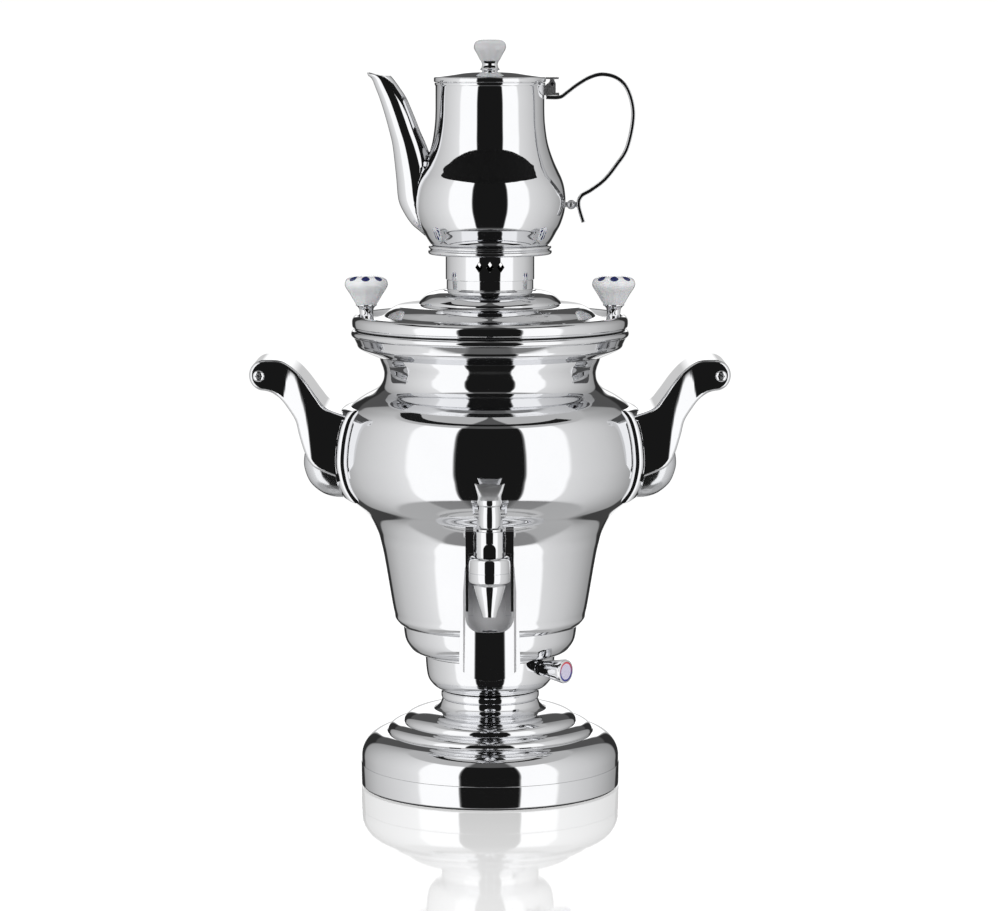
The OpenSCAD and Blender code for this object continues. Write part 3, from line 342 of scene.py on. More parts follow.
def buildBase():
    ringTop, foot, r, wall = level["ringTop"], level["foot"], base["radius"], base["wall"]
    ring = ([(base["lip"], foot), (r - 1.0, foot)]
            + arcPoints(r - 0.9, foot + 0.9, 0.9, -90, 0, 4)
            + arcPoints(r - 0.6, ringTop - 0.6, 0.6, 0, 90, 5)
            + [(r - 0.3 - wall, ringTop), (r - 0.3 - wall, ringTop - 2), (r - wall, ringTop - 2.4),
               (r - wall, foot + wall), (base["lip"], foot + wall)])
    turned("baseRing", ring, "base_ring", steps=224)
    shell = r - 0.3
    z = ringTop
    outer = ([(shell, z + 0.01)] + crest(shell, z + 4.1, 66.8, z + 20.3, 26)
             + crest(66.2, z + 20.9, 55.8, z + 26.8, 14) + crest(55.7, z + 27.2, 36.5, z + 35, 20)
             + smoothCurve([(34.2, level["waist"] - 5.4), (32.2, level["waist"] - 3.2),
                            (base["waist"], level["waist"])], 8))
    turned("baseShell", sheetOf(outer, wall), "base_shell", steps=224, sharpAt=24)
    waist, w = level["waist"], base["waist"]
    bead = ([(w - 4, waist), (w - 0.3, waist), (w, waist + 0.3)]
            + smoothCurve([(w + 0.3, waist + 0.7), (w + 0.6, waist + 1.7), (w + 0.6, waist + 3.7),
                           (w + 0.3, waist + 4.7)], 5)
            + [(w, waist + 5.1), (w - 0.3, waist + 5.4), (w - 4, waist + 5.4)])
    turned("waistCollar", bead, "waist_collar")


# The two cups under the vessel.
cups = {"cup": 41.9, "support": 56.1, "wall": 1.2}


def buildCups():
    cupZ, r, w, top = level["cup"], cups["cup"], base["waist"], level["support"]
    cup = [(12.0, cupZ)] + smoothCurve(
        [(w - 1.5, cupZ), (w + 4.2, cupZ + 2.5), (w + 7.3, cupZ + 5.4), (r - 1.4, cupZ + 9.3),
         (r - 0.4, cupZ + 15.8), (r, top - 1)], 7) + [(r, top)]
    turned("lowerCup", sheetOf(cup, cups["wall"]), "lower_cup")
    s, z = cups["support"], level["vessel"]
    support = [(r - 4, top)] + smoothCurve(
        [(r - 0.4, top), (r + 7.2, top + 3), (s - 3.6, top + 6.4), (s - 1.1, top + 11.4),
         (s, z - 1)], 8) + [(s, z)]
    turned("supportCup", sheetOf(support, cups["wall"]), "support_cup")


# The belly-shaped vessel with its collar.
vessel = {"bottom": 61.9, "belly": 98.0, "neck": 68.0, "wall": 1.2, "collar": 89.1, "bead": 2.4}


def vesselCurve(steps):
    z, b, e, n = level["vessel"], vessel["bottom"], vessel["belly"], vessel["neck"]
    return smoothCurve(
        [(b - 2.3, z + 2.2), (b - 0.6, z + 4.8), (b, z + 8), (b + 1.5, z + 15.3), (b + 5.9, z + 41.5),
         (b + 8.3, z + 53), (b + 11, z + 62), (b + 16.9, z + 72.6), (e - 9, z + 82.2),
         (e - 3.1, z + 91.8), (e - 0.4, z + 102.8), (e, z + 111.8), (e - 1.4, z + 124.8),
         (e - 4.8, z + 136.8), (e - 10.6, z + 143.8), (n + 12.6, z + 148.6), (n + 4.4, z + 153.2),
         (n + 0.9, z + 157.8), (n, z + 162.6), (n + 0.7, z + 166.6), (n + 2.5, z + 171.6),
         (n + 3.2, z + 175)], steps)


def buildVessel():
    z, b, top = level["vessel"], vessel["bottom"], level["vesselTop"]
    outer = ([(b - 14, z), (b - 5, z)] + vesselCurve(9) + [(vessel["neck"] + 3.2, top)])
    turned("vesselShell", sheetOf(outer, vessel["wall"]), "vessel", steps=256,
           others=("vessel_shoulder",))
    n, c, bead = vessel["neck"], vessel["collar"], vessel["bead"]
    band, z0, z1 = c - 3.5, level["collar"], level["collarTop"]
    rim = ([(n + 3.2, z0)] + smoothCurve([(n + 5, z0), (band - 5.4, z0 + 3.2),
                                         (band - 1.2, z0 + 5.6), (band, z0 + 8.2)], 8)
           + arcPoints(c - bead, z1 - bead, bead, -70, 90, 18) + [(n + 2, z1)])
    turned("topCollar", sheetOf(rim, vessel["wall"]), "top_collar", steps=224)


# The lid with its two glazed knobs, and the measures of the crown on it.
lid = {"radius": 88.5, "wall": 0.9, "knobAt": 79.2, "knobRadius": 13.8, "stem": 8.2}
crown = {"radius": 28.4, "dish": 39.6}


def buildLid():
    r, z, ledge, dome, c = lid["radius"], level["lid"], level["ledge"], level["dome"], crown["radius"]
    outer = ([(r - 10, z), (r - 1.2, z)]
             + smoothCurve([(r - 0.2, z + 1.4), (r, z + 3.2), (r - 0.2, z + 5.6),
                            (r - 1.3, z + 7.4), (r - 2.9, z + 8.5)], 6)
             + [(r - 4.1, z + 8.1), (r - 4.6, ledge), (r - 15.4, ledge)]
             + smoothCurve([(r - 16.6, ledge + 0.4), (r - 20, ledge + 1.6), (r - 23.9, ledge + 4.8),
                            (r - 28, ledge + 7.2), (r - 31.5, ledge + 8.2), (r - 42, ledge + 8.8)], 8)
             + smoothCurve([(c + 17.3, ledge + 9), (c + 16, ledge + 11.2), (c + 12.2, ledge + 14.6),
                            (c + 7.6, ledge + 16.6), (c + 2.2, dome)], 8) + [(c - 6, dome)])
    turned("lidShell", sheetOf(outer, lid["wall"]), "lid_shell", steps=224, sharpAt=26,
           others=("lid_boss",))
    inner, stub, sleeve = c - 1.3, c - 0.6, level["sleeve"]
    turned("lidStub", [(inner - 2.2, dome), (c + 1.2, dome), (c + 1.4, dome + 0.3),
                       (c + 1.2, dome + 0.6), (stub + 0.2, dome + 0.9), (stub, dome + 1.2),
                       (stub, sleeve - 0.25), (inner - 0.06, sleeve - 0.25),
                       (inner - 0.06, sleeve + 5), (inner - 1, sleeve + 6),
                       (inner - 2.2, sleeve + 6)], "lid_stub")


def buildLidKnobs():
    h, r = lid["stem"], lid["knobRadius"]
    stem = ([(0, -5.4), (2, -5.4), (2, -3.9), (3.8, -3.9), (3.8, -0.9), (2, -0.9), (2, 0)]
            + smoothCurve([(4.5, 0), (4.4, 1.6), (4.5, 4.6), (5.2, 6.2), (6.8, 7.6)], 6)
            + [(6.8, h), (0, h)])
    knob = [(0, h)] + smoothCurve([(6.6, h), (7.6, h + 1.6), (10.4, h + 6.4), (r - 0.7, h + 10.6),
                                   (r, h + 13.2), (r - 1, h + 16), (r - 4, h + 17.8),
                                   (r - 8, h + 18.5), (0, h + 18.7)], 7)
    for side, tag in ((-1, "left"), (1, "right")):
        place = Matrix.Translation((side * lid["knobAt"] * mm, 0, level["ledge"] * mm))
        turned(tag + "KnobStem", stem, "lid_stems", steps=96, place=place)
        turned(tag + "LidKnob", knob, "lid_knobs", look=glazed(side * lid["knobAt"], petal["count"]),
               steps=144, place=place, shape=fluted)


# Sixteen faint flutes that fade out towards the knob's crown and foot.
def fluted(bm):
    tall = max(v.co.z for v in bm.verts)
    for v in bm.verts:
        share = v.co.z / tall
        depth = 0.016 * max(0, sin(pi * min(1, max(0, (share - 0.32) / 0.52))))
        turn = atan2(v.co.y, v.co.x)
        grow = 1 - depth * (0.5 - 0.5 * cos(16 * turn))
        v.co.x *= grow
        v.co.y *= grow


petal = {"count": 8, "up": 17, "tall": 0.0015, "wide": 1.25, "dot": 0.0016}


# White glaze; petals in a ring round the crown when there are any, else a small dot on top.
def glazed(centre, petals, top=0):
    mat, tree, shader, coords = nodeMaterial("glaze%d" % round(centre))
    shift = addNode(tree, "ShaderNodeMapping", Location=(-centre * mm, 0, 0), Vector=coords)
    split = addNode(tree, "ShaderNodeSeparateXYZ", Vector=shift.outputs["Vector"])
    x, y, z = split.outputs["X"], split.outputs["Y"], split.outputs["Z"]
    if petals:
        wave = calc(tree, "COSINE", calc(tree, "MULTIPLY", calc(tree, "ARCTAN2", y, x), petals))
        # ovals on the knob's shoulder
        middle = (level["ledge"] + lid["stem"] + petal["up"]) * mm
        along = calc(tree, "DIVIDE", calc(tree, "SUBTRACT", z, middle), petal["tall"])
        along = calc(tree, "MULTIPLY", along, along)
        across = calc(tree, "DIVIDE", calc(tree, "SUBTRACT", 1.0, wave), petal["wide"])
        mask = calc(tree, "LESS_THAN", calc(tree, "ADD", along, across), 1.0)
        ink = (0.01, 0.016, 0.11, 1)
    else:
        away = calc(tree, "ADD", calc(tree, "MULTIPLY", x, x), calc(tree, "MULTIPLY", y, y))
        near = calc(tree, "LESS_THAN", calc(tree, "SQRT", away), petal["dot"])
        mask = calc(tree, "MULTIPLY", near, calc(tree, "GREATER_THAN", z, top * mm))
        ink = (0.03, 0.03, 0.05, 1)
    mottle = addNode(tree, "ShaderNodeTexNoise", Scale=180.0, Detail=3.0, Vector=coords)
    white = mixColors(tree, mottle.outputs["Fac"], (0.80, 0.81, 0.83, 1), (0.88, 0.885, 0.90, 1))
    feedAll(shader, {"Base Color": mixColors(tree, mask, white, ink), "Roughness": 0.12,
                     "Coat Weight": 0.6, "Coat Roughness": 0.04,
                     "Subsurface Weight": 0.08, "Subsurface Scale": 0.002})
    return mat


print("samovar: helpers ready")
buildBase()
buildCups()
buildVessel()
buildLid()
print("samovar: base, cups, vessel and lid turned")
buildLidKnobs()


# The crown and the teapot on it. Holes are cut by a knife object that is then removed.
def cutBy(piece, cutter):
    knife = piece.modifiers.new("knife", "BOOLEAN")
    knife.operation, knife.solver, knife.object = "DIFFERENCE", "EXACT", cutter
    graph = bpy.context.evaluated_depsgraph_get()
    cutMesh = bpy.data.meshes.new_from_object(piece.evaluated_get(graph))
    piece.modifiers.remove(knife)
    old = piece.data
    piece.data = cutMesh
    bpy.data.meshes.remove(old)
    cutMesh.name = piece.name
    bpy.data.objects.remove(cutter)


vents = {"turns": (-14.2, 0, 14.2, 165.8, 180, 194.2), "up": 9.06, "wide": 4.8, "tall": 6.9, "deep": 12}


def buildCrown():
    c, sleeve, dish = crown["radius"], level["sleeve"], level["dish"]
    inner = c - 1.3
    piece = turned("crownSleeve", [(inner, sleeve), (c - 0.2, sleeve), (c, sleeve + 0.2), (c, dish),
                                   (inner, dish)], "crown_sleeve", steps=192)
    bm = bmesh.new()
    wide, tall = vents["wide"] / sqrt(2) * mm, vents["tall"] / sqrt(2) * mm
    diamond = Matrix.Diagonal((wide, vents["deep"] * mm, tall, 1)) @ Matrix.Rotation(radians(45), 4, "Y")
    for turn in vents["turns"]:
        spot = Matrix.Translation((0, -c * mm, (sleeve + vents["up"]) * mm))
        bmesh.ops.create_cube(bm, size=1, matrix=Matrix.Rotation(radians(turn), 4, "Z") @ spot @ diamond)
    cutBy(piece, placeObject("ventKnife", meshFrom(bm, "ventKnife")))
    # the inside is unpolished, and its near-black colour is painted shade inside the sleeve
    piece.data.materials.append(paintedShadeSteel)
    for face in piece.data.polygons:
        if sqrt(face.center.x ** 2 + face.center.y ** 2) < (inner + 0.1) * mm:
            face.material_index = 1
    d, z = crown["dish"], dish
    rim = ([(inner - 4, z)] + arcPoints(d - 1.6, z + 1.6, 1.6, -90, 80, 14)
           + arcPoints(d - 1.4, z + 4.7, 1.1, -70, 170, 16)
           + [(d - 2.5, z + 1.2), (inner - 4, z + 1.2)])
    turned("crownDish", rim, "crown_dish", steps=192)


teapot = {"belly": 48.3, "neck": 34.7, "wall": 0.9, "strap": (2.4, 11), "strainerHole": 1.3}


def potCurve(steps):
    r, n, z = teapot["belly"], teapot["neck"], level["pot"]
    return smoothCurve([(30, z), (33.4, z + 0.5), (r - 12, z + 3.2), (r - 8.9, z + 7.3),
                        (r - 6, z + 12.4), (r - 3.2, z + 17.6), (r - 0.7, z + 25.5), (r, z + 33.2),
                        (r - 0.8, z + 41), (r - 2.4, z + 46.6), (r - 4.7, z + 51.6),
                        (r - 7.2, z + 57), (n + 4.1, z + 63), (n + 2.3, z + 69), (n + 1.2, z + 75),
                        (n + 0.3, z + 83), (n, z + 91)], steps)


def buildTeapot():
    n, z, top, wall = teapot["neck"], level["pot"], level["potTop"], teapot["wall"]
    curve = potCurve(8)
    inside = beside(curve, wall)[::-1]
    profile = ([(0, z)] + curve
               + [(n, top - 2.2), (n + 0.3, top - 1.7), (n + 0.6, top - 1.1), (n + 0.6, top - 0.3),
                  (n + 0.3, top), (n - wall, top)] + inside + [(0, z + wall)])
    body = turned("teapotBody", profile, "teapot_body", steps=224, closed=False)
    bm = bmesh.new()
    hole = teapot["strainerHole"] * mm
    for row in range(4):
        for col in (-1, 0, 1):
            spot = Matrix.Translation((-45 * mm, 5 * col * mm, (z + 33 + 6 * row) * mm))
            bmesh.ops.create_cone(bm, cap_ends=True, segments=20, radius1=hole, radius2=hole,
                                  depth=16 * mm, matrix=spot @ Matrix.Rotation(pi / 2, 4, "Y"))
    cutBy(body, placeObject("strainerKnife", meshFrom(bm, "strainerKnife")))
    rim, base = n + 1, top + 0.3
    plug = n - wall - 0.5
    cover = smoothCurve([(rim, base + 2.4), (rim - 0.8, base + 3.4), (30, base + 4.8),
                         (22, base + 6.4), (13, base + 7.4), (6, level["potLidTop"])], 8)
    turned("teapotLid", [(plug - wall, top - 3), (plug, top - 3), (plug, base), (rim - 0.3, base),
                         (rim, base + 0.3)] + cover
           + [(0, level["potLidTop"]), (0, level["potLidTop"] - wall)]
           + beside(cover, wall)[::-1] + [(plug - wall, base + wall)], "teapot_lid", steps=192)
    foot = level["potLidTop"]
    turned("potKnobStem", [(0, foot), (6.0, foot), (6.3, foot + 0.3), (6.0, foot + 0.6)]
           + smoothCurve([(5.4, foot + 1.2), (4.9, foot + 3.4), (5.6, foot + 5.4)], 8)
           + [(0, foot + 5.4)], "pot_knob_stem", steps=96, closed=False)
    f, h = foot + 5.4, 14.0
    knob = [(0, 0)] + smoothCurve([(5.4, 0), (6.3, 0.9), (8.2, 0.32 * h), (9.8, 0.52 * h),
                                   (10.2, 0.66 * h), (9.4, 0.84 * h), (6.8, 0.96 * h), (0, h)], 8)
    turned("potKnob", knob, "pot_knob", look=glazed(0, 0, f + h - 1), steps=144, closed=False,
           place=Matrix.Translation((0, 0, f * mm)), shape=fluted)


spout = {
    "rows": [(8, 33, 6, 4.6), (13.3, 37, 8.1, 6.6), (17.8, 40.2, 10, 8.4), (25.5, 43.3, 12, 10.2),
             (33.3, 45.2, 13.3, 11.4), (46.1, 46.6, 13.1, 11.2), (58.9, 49, 12, 10.2),
             (69.1, 51.6, 10.7, 9.2), (76.7, 54.2, 9.9, 8.5), (84.3, 56.7, 9.4, 7.9),
             (91.1, 59.1, 9, 7.4), (98.1, 61.8, 8.6, 6.9), (104.8, 65.3, 7.7, 6.4),
             (109.9, 68.2, 6.9, 5.9), (112.4, 70.9, 7.3, 5.7)],
    "wall": 0.9, "lean": 1.4, "sunk": 0.6,
}


# Ovals bridged one to the next, then cut away where they lie inside the pot.
def buildSpout():
    rows = smoothCurve(spout["rows"], 3)
    bm = bmesh.new()
    rings = []
    for i, (z, away, out, across) in enumerate(rows):
        made = bmesh.ops.create_circle(bm, segments=64, radius=1)
        lean = spout["lean"] if i == len(rows) - 1 else 0
        for v in made["verts"]:
            x, y = v.co.x, v.co.y
            v.co = Vector((-(away + out * x), across * y, level["pot"] + z + lean * x)) * mm
        rings.append(list({e for v in made["verts"] for e in v.link_edges}))
    bridgeRings(bm, rings)
    skin = [(z, r) for r, z in potCurve(6)]
    hidden = []
    for face in bm.faces:
        c = face.calc_center_median() / mm
        if sqrt(c.x * c.x + c.y * c.y) < valueAt(skin, c.z) - spout["sunk"]:
            hidden.append(face)
    bmesh.ops.delete(bm, geom=hidden, context="FACES")
    bmesh.ops.recalc_face_normals(bm, faces=bm.faces[:])
    outward = sum(f.normal.y * f.calc_center_median().y for f in bm.faces)
    if outward < 0:
        bmesh.ops.reverse_faces(bm, faces=bm.faces[:])
    finishPiece(bm, "teapotSpout", mirrorSteel, "teapot_spout", thickness=spout["wall"], sharpAt=50)


# The strap's outline in XZ, pushed along Y and rounded along its long edges.
def buildStrap():
    n, top = teapot["neck"], level["potTop"]
    line = smoothCurve(
        [(n + 0.9, top - 9.3), (44.3, top - 9.2), (49.6, top - 5.8), (55.1, top - 1.6),
         (63.4, top + 3.3), (71.6, top + 5.2), (80.8, top + 2.8), (87.9, top - 5.2),
         (91.2, top - 20.7), (87.4, top - 41), (80.4, top - 52.4), (73, top - 61.6),
         (64.7, top - 67.9), (58.4, top - 71.8), (56.6, top - 77.6), (59.6, top - 88.6)], 8)
    thick, wide = teapot["strap"]
    outline = beside(line, thick / 2) + beside(line, -thick / 2)[::-1]
    bm = bmesh.new()
    face = bm.faces.new([bm.verts.new((x * mm, -wide / 2 * mm, z * mm)) for x, z in outline])
    pushed = bmesh.ops.extrude_face_region(bm, geom=[face])["geom"]
    bmesh.ops.translate(bm, vec=(0, wide * mm, 0),
                        verts=[v for v in pushed if isinstance(v, bmesh.types.BMVert)])
    bmesh.ops.recalc_face_normals(bm, faces=bm.faces[:])
    rims = [e for e in bm.edges if len(e.link_faces) == 2
            and any(len(f.verts) > 6 for f in e.link_faces)]
    bmesh.ops.bevel(bm, geom=rims, offset=0.5 * mm, offset_type="OFFSET", affect="EDGES",
                    segments=3, profile=0.5, material=-1, clamp_overlap=True)
    finishPiece(bm, "teapotHandle", mirrorSteel, "teapot_handle")


buildCrown()
buildTeapot()
buildSpout()
buildStrap()
for node in ("handle_post", "hinge_bracket", "thumb_piece"):
    fromSolid(node, look=brushedSteel, bevel=0.4)
print("samovar: crown and teapot done")

# Side handles: an arch over two cheeks, on a flange and a pressed saddle.
side = {"headX": 143.2, "headZ": 268.8, "head": 9.8, "plate": 2.5, "half": 31.0, "headHalf": 26.0,
        "rim": 2.3, "foot": 93.5, "bendStep": 1.4}
saddle = {"half": 22.0, "round": 13.0}
flange = {"thick": 4.4, "low": 187.8, "high": 247.2, "half": 32.0, "round": 3.0, "sunk": 0.4, "steps": 24}
bellySkin = [(z, r) for r, z in vesselCurve(6)]

# plan of a cheek's outer face: wide at the belly, drawn in to the head
cheekPlan = smoothCurve(
    [(78, side["half"]), (104, side["half"]), (112, side["half"] - 0.4),
     (side["headX"] - 23, side["half"] - 2), (side["headX"] - 13.5, side["headHalf"] + 0.7),
     (side["headX"] - 8, side["headHalf"])], 6)


def flangeFace(z, y, deep):
    r = valueAt(bellySkin, z) + flange["thick"] - deep
    return sqrt(r * r - y * y)


# A cheek in millimetres: rings draw in over its rounded rim, then the plate is bent to the plan.
def cheekMesh(top, head, low):
    outline = [(max(x, flangeFace(z, side["half"], 1)), z) for x, z in top + head[1:-1] + low]
    first, last = outline[0][1], outline[-1][1]
    outline += [(flangeFace(z, side["half"], 1), z)
                for z in (last + (first - last) * k / 12 for k in range(1, 12))]
    plate, rim = side["plate"], side["rim"]
    rows = [(plate, 0)] + [(rim * (1 - sin(a)), rim * (1 - cos(a)))
                           for a in (pi / 2 * k / 6 for k in range(7))]
    bm = bmesh.new()
    closeRings(bm, [ringOf(bm, [(x, y, z) for x, z in beside(outline, -inset)]) for y, inset in rows])
    x = side["foot"] + 2.5
    while x < side["headX"] + side["head"] - 1:
        bmesh.ops.bisect_plane(bm, geom=bm.verts[:] + bm.edges[:] + bm.faces[:],
                               plane_co=(x, 0, 0), plane_no=(1, 0, 0))
        x += side["bendStep"]
    for v in bm.verts:
        v.co.y -= valueAt(cheekPlan, v.co.x)
    bmesh.ops.recalc_face_normals(bm, faces=bm.faces[:])
    return meshFrom(bm, "cheek")


# The arch in millimetres, bridged from one cheek to the other.
def archMesh(line):
    overlap = 0.05
    outline = [(max(x, side["foot"]), z) for x, z in line + beside(line, -side["plate"])[::-1]]
    bm = bmesh.new()
    rings = []
    for way in (-1, 1):
        rings.append(ringOf(bm, [(x, way * (valueAt(cheekPlan, x) - side["plate"] + overlap), z)
                                 for x, z in outline]))
    closeRings(bm, rings)
    bmesh.ops.recalc_face_normals(bm, faces=bm.faces[:])
    return meshFrom(bm, "arch")


def buildHandles():
    x, z, r, b = side["headX"], side["headZ"], side["head"], vessel["belly"]
    top = smoothCurve([(b - 6.8, z - 25.4), (x - 39.8, z - 20.8), (x - 33.8, z - 14.2),
                       (x - 26.3, z - 3.8), (x - 20.1, z + 3.1), (x - 13.7, z + 7.8),
                       (x - 8.2, z + 9.6), (x, z + r)], 8)
    low = smoothCurve([(x, z - r), (x - 4.7, z - 11.2), (x - 10.2, z - 15.2), (x - 14.9, z - 21.2),
                       (x - 19.6, z - 28.8), (x - 21.9, z - 37.8), (x - 25.3, z - 48.7),
                       (x - 28.9, z - 55.6), (x - 35, z - 60.3), (b - 6.8, z - 67)], 8)
    head = arcPoints(x, z, r, 80, -90, 26)
    cheek, arch = cheekMesh(top, head, low), archMesh(top + head)
    for name, sign in (("left_handle", -1), ("right_handle", 1)):
        bm = bmesh.new()
        for mesh, way in ((arch, 1), (cheek, 1), (cheek, -1)):
            before = len(bm.verts)
            bm.from_mesh(mesh)
            bm.verts.ensure_lookup_table()
            for v in bm.verts[before:]:
                v.co = Vector((sign * v.co.x, way * v.co.y, v.co.z)) * mm
        bmesh.ops.recalc_face_normals(bm, faces=bm.faces[:])
        finishPiece(bm, name + "Dressed", mirrorSteel, name, sharpAt=40)


# The pressed saddle under each handle, its face rounded over towards the outline.
def buildSaddles():
    b, z = vessel["belly"], side["headZ"]
    outline = ([(b - 12.8, z - 44), (b + 11.2, z - 41)]
               + smoothCurve([(b + 17.2, z - 44), (b + 20.2, z - 49), (b + 21.4, z - 57.8),
                              (b + 19.7, z - 65.3), (b + 16.2, z - 71.5), (b + 9.4, z - 77),
                              (b + 2.4, z - 79.4), (b - 4.8, z - 79.9), (b - 12.8, z - 80)], 8))
    rounding, half = saddle["round"], saddle["half"]
    angles = [pi / 2 * k / 9 for k in range(10)]
    rows = [(-half + rounding * (1 - cos(a)), rounding * (1 - sin(a))) for a in angles]
    rows += [(-y, inset) for y, inset in rows[::-1]]
    bm = bmesh.new()
    for sign in (-1, 1):
        rings = []
        for y, inset in rows:
            ring = []
            for x, height in beside(outline, -inset):
                # nothing sinks deeper into the flange than half a millimetre
                least = valueAt(bellySkin, height) + flange["thick"] - 0.5
                if sqrt(x * x + y * y) < least:
                    x = sqrt(max(least * least - y * y, 1))
                ring.append(Vector((sign * x, y, height)) * mm)
            rings.append(ringOf(bm, ring))
        closeRings(bm, rings)
    bmesh.ops.recalc_face_normals(bm, faces=bm.faces[:])
    finishPiece(bm, "handleSaddles", saddleSteel, "handle_saddles", sharpAt=60)


# Flanges: grids laid on the belly as pads with well rounded borders.
def buildFlanges():
    half, low, high, r = flange["half"], flange["low"], flange["high"], flange["round"]
    inset = [r * (1 - cos(pi / 2 * k / 7)) for k in range(8)]
    lines = []
    for a, b in ((-half, half), (low, high)):
        even = [a + r + (b - a - 2 * r) * k / flange["steps"] for k in range(1, flange["steps"])]
        lines.append([a, *(a + d for d in inset), *even, *(b - d for d in inset[::-1]), b])
    last = len(lines[0]) - 1
    for name, sign in (("left_flange", -1), ("right_flange", 1)):
        bm = bmesh.new()
        bmesh.ops.create_grid(bm, x_segments=last, y_segments=last, size=1)
        for v in bm.verts:
            i, j = round((v.co.x + 1) / 2 * last), round((v.co.y + 1) / 2 * last)
            y, z = lines[0][i], lines[1][j]
            edge = min(y + half, half - y, z - low, high - z)
            rise = flange["thick"] - r + sqrt(max(r * r - max(r - edge, 0) ** 2, 0))
            if i in (0, last) or j in (0, last):
                rise = -flange["sunk"]
            reach = valueAt(bellySkin, z) + rise
            v.co = Vector((sign * sqrt(reach * reach - y * y), y, z)) * mm
        bmesh.ops.recalc_face_normals(bm, faces=bm.faces[:])
        if (sum(f.normal.x for f in bm.faces) > 0) != (sign > 0):
            bmesh.ops.reverse_faces(bm, faces=bm.faces[:])
        finishPiece(bm, name + "Dressed", mirrorSteel, name, sharpAt=60)


gripScrew = {"radius": 3.6, "tall": 1.7, "curve": 3.75, "shank": 1.6, "long": 10.4, "aside": 3.6,
             "down": 0.4, "slot": 0.42, "slotReach": 2.1, "slotDeep": 0.8}


# One screw is spun upright, its cross pressed into the dome, and then set four times.
def buildGripScrews():
    head, shank = gripScrew["radius"], gripScrew["shank"]
    rows = [(r, gripScrew["tall"] * sqrt(1 - (r / gripScrew["curve"]) ** 2))
            for r in [0.25 * k for k in range(1, 15)] + [head]]
    bm = bmesh.new()
    rows += [(head, 0), (shank, 0), (shank, -gripScrew["long"])]
    spinProfile(bm, [(r, 0, h) for r, h in rows], 64)
    bmesh.ops.holes_fill(bm, edges=bm.edges[:], sides=0)
    for v in bm.verts:
        near = min(abs(v.co.x), abs(v.co.y)) < gripScrew["slot"]
        if near and v.co.z > 0.01 and v.co.xy.length < gripScrew["slotReach"]:
            v.co.z -= gripScrew["slotDeep"]
    screw = meshFrom(bm, "screw")
    bm = bmesh.new()
    for sx, sy in ((-1, -1), (-1, 1), (1, -1), (1, 1)):
        before = len(bm.verts)
        bm.from_mesh(screw)
        bm.verts.ensure_lookup_table()
        for v in bm.verts[before:]:
            v.co = Vector((sx * (side["headX"] + gripScrew["aside"]) + v.co.x,
                           sy * (side["headHalf"] + v.co.z),
                           side["headZ"] - gripScrew["down"] + v.co.y)) * mm
    bm.normal_update()
    bmesh.ops.recalc_face_normals(bm, faces=bm.faces[:])
    finishPiece(bm, "gripScrews", mirrorSteel, "grip_screws", sharpAt=40)


buildHandles()
buildSaddles()
buildFlanges()
buildGripScrews()
print("samovar: side handles done")

# The tap: nozzle, key, body and the paddle behind the nozzle.
tap = {"reach": 108.0, "shank": 169.3, "barrel": 9.5, "nozzle": 12.9, "outlet": 3.6}
key = {"grip": 9.3, "tall": 9.6, "hollow": 14, "squareness": 0.62, "crest": 0.35}
recess = {"front": -0.0992, "back": -0.092, "foot": 0.117}


def buildTap():
    z, r, n = tap["shank"] - 4, tap["barrel"], tap["nozzle"]
    tip = z - 38
    at = Matrix.Translation((0, -tap["reach"] * mm, 0))
    outer = ([(tap["outlet"], tip), (4.4, tip), (4.7, tip + 0.4), (4.75, tip + 0.9)]
             + smoothCurve([(5, tip + 2), (7, tip + 8.6), (8.8, tip + 14.6), (10, tip + 19.4)], 8)
             + smoothCurve([(10.2, tip + 20.2), (10.9, tip + 21.0), (n - 0.5, tip + 21.8),
                            (n, tip + 23.4)], 5)
             + [(n, tip + 27.8), (n - 0.35, tip + 27.95), (n - 0.35, tip + 28.15), (n, tip + 28.3)]
             + arcPoints(n - 3, z - 3.2, 3, 0, 80, 12) + [(r, z), (8, z), (8, tip + 20),
                                                         (tap["outlet"], tip + 15)])
    turned("tapNozzle", outer, "tap_nozzle", steps=128, place=at)
    barrelTop = tap["shank"] + 11.5
    foot = barrelTop + 1.85
    head = foot + 17.6
    stem = ([(0, barrelTop + 0.2), (3, barrelTop + 0.2), (3, foot)]
            + smoothCurve([(6.2, foot), (6.7, foot + 0.5), (6.9, foot + 2.4), (6.9, foot + 8),
                           (6.3, foot + 13.4)], 6)
            + smoothCurve([(6.5, foot + 13.8), (7.2, foot + 14.2), (7.5, foot + 15.6),
                           (7.2, head)], 5) + [(0, head)])
    turned("tapKeyStem", stem, "tap_key", steps=96, place=at, closed=False)
    buildKeyFan(at, head)


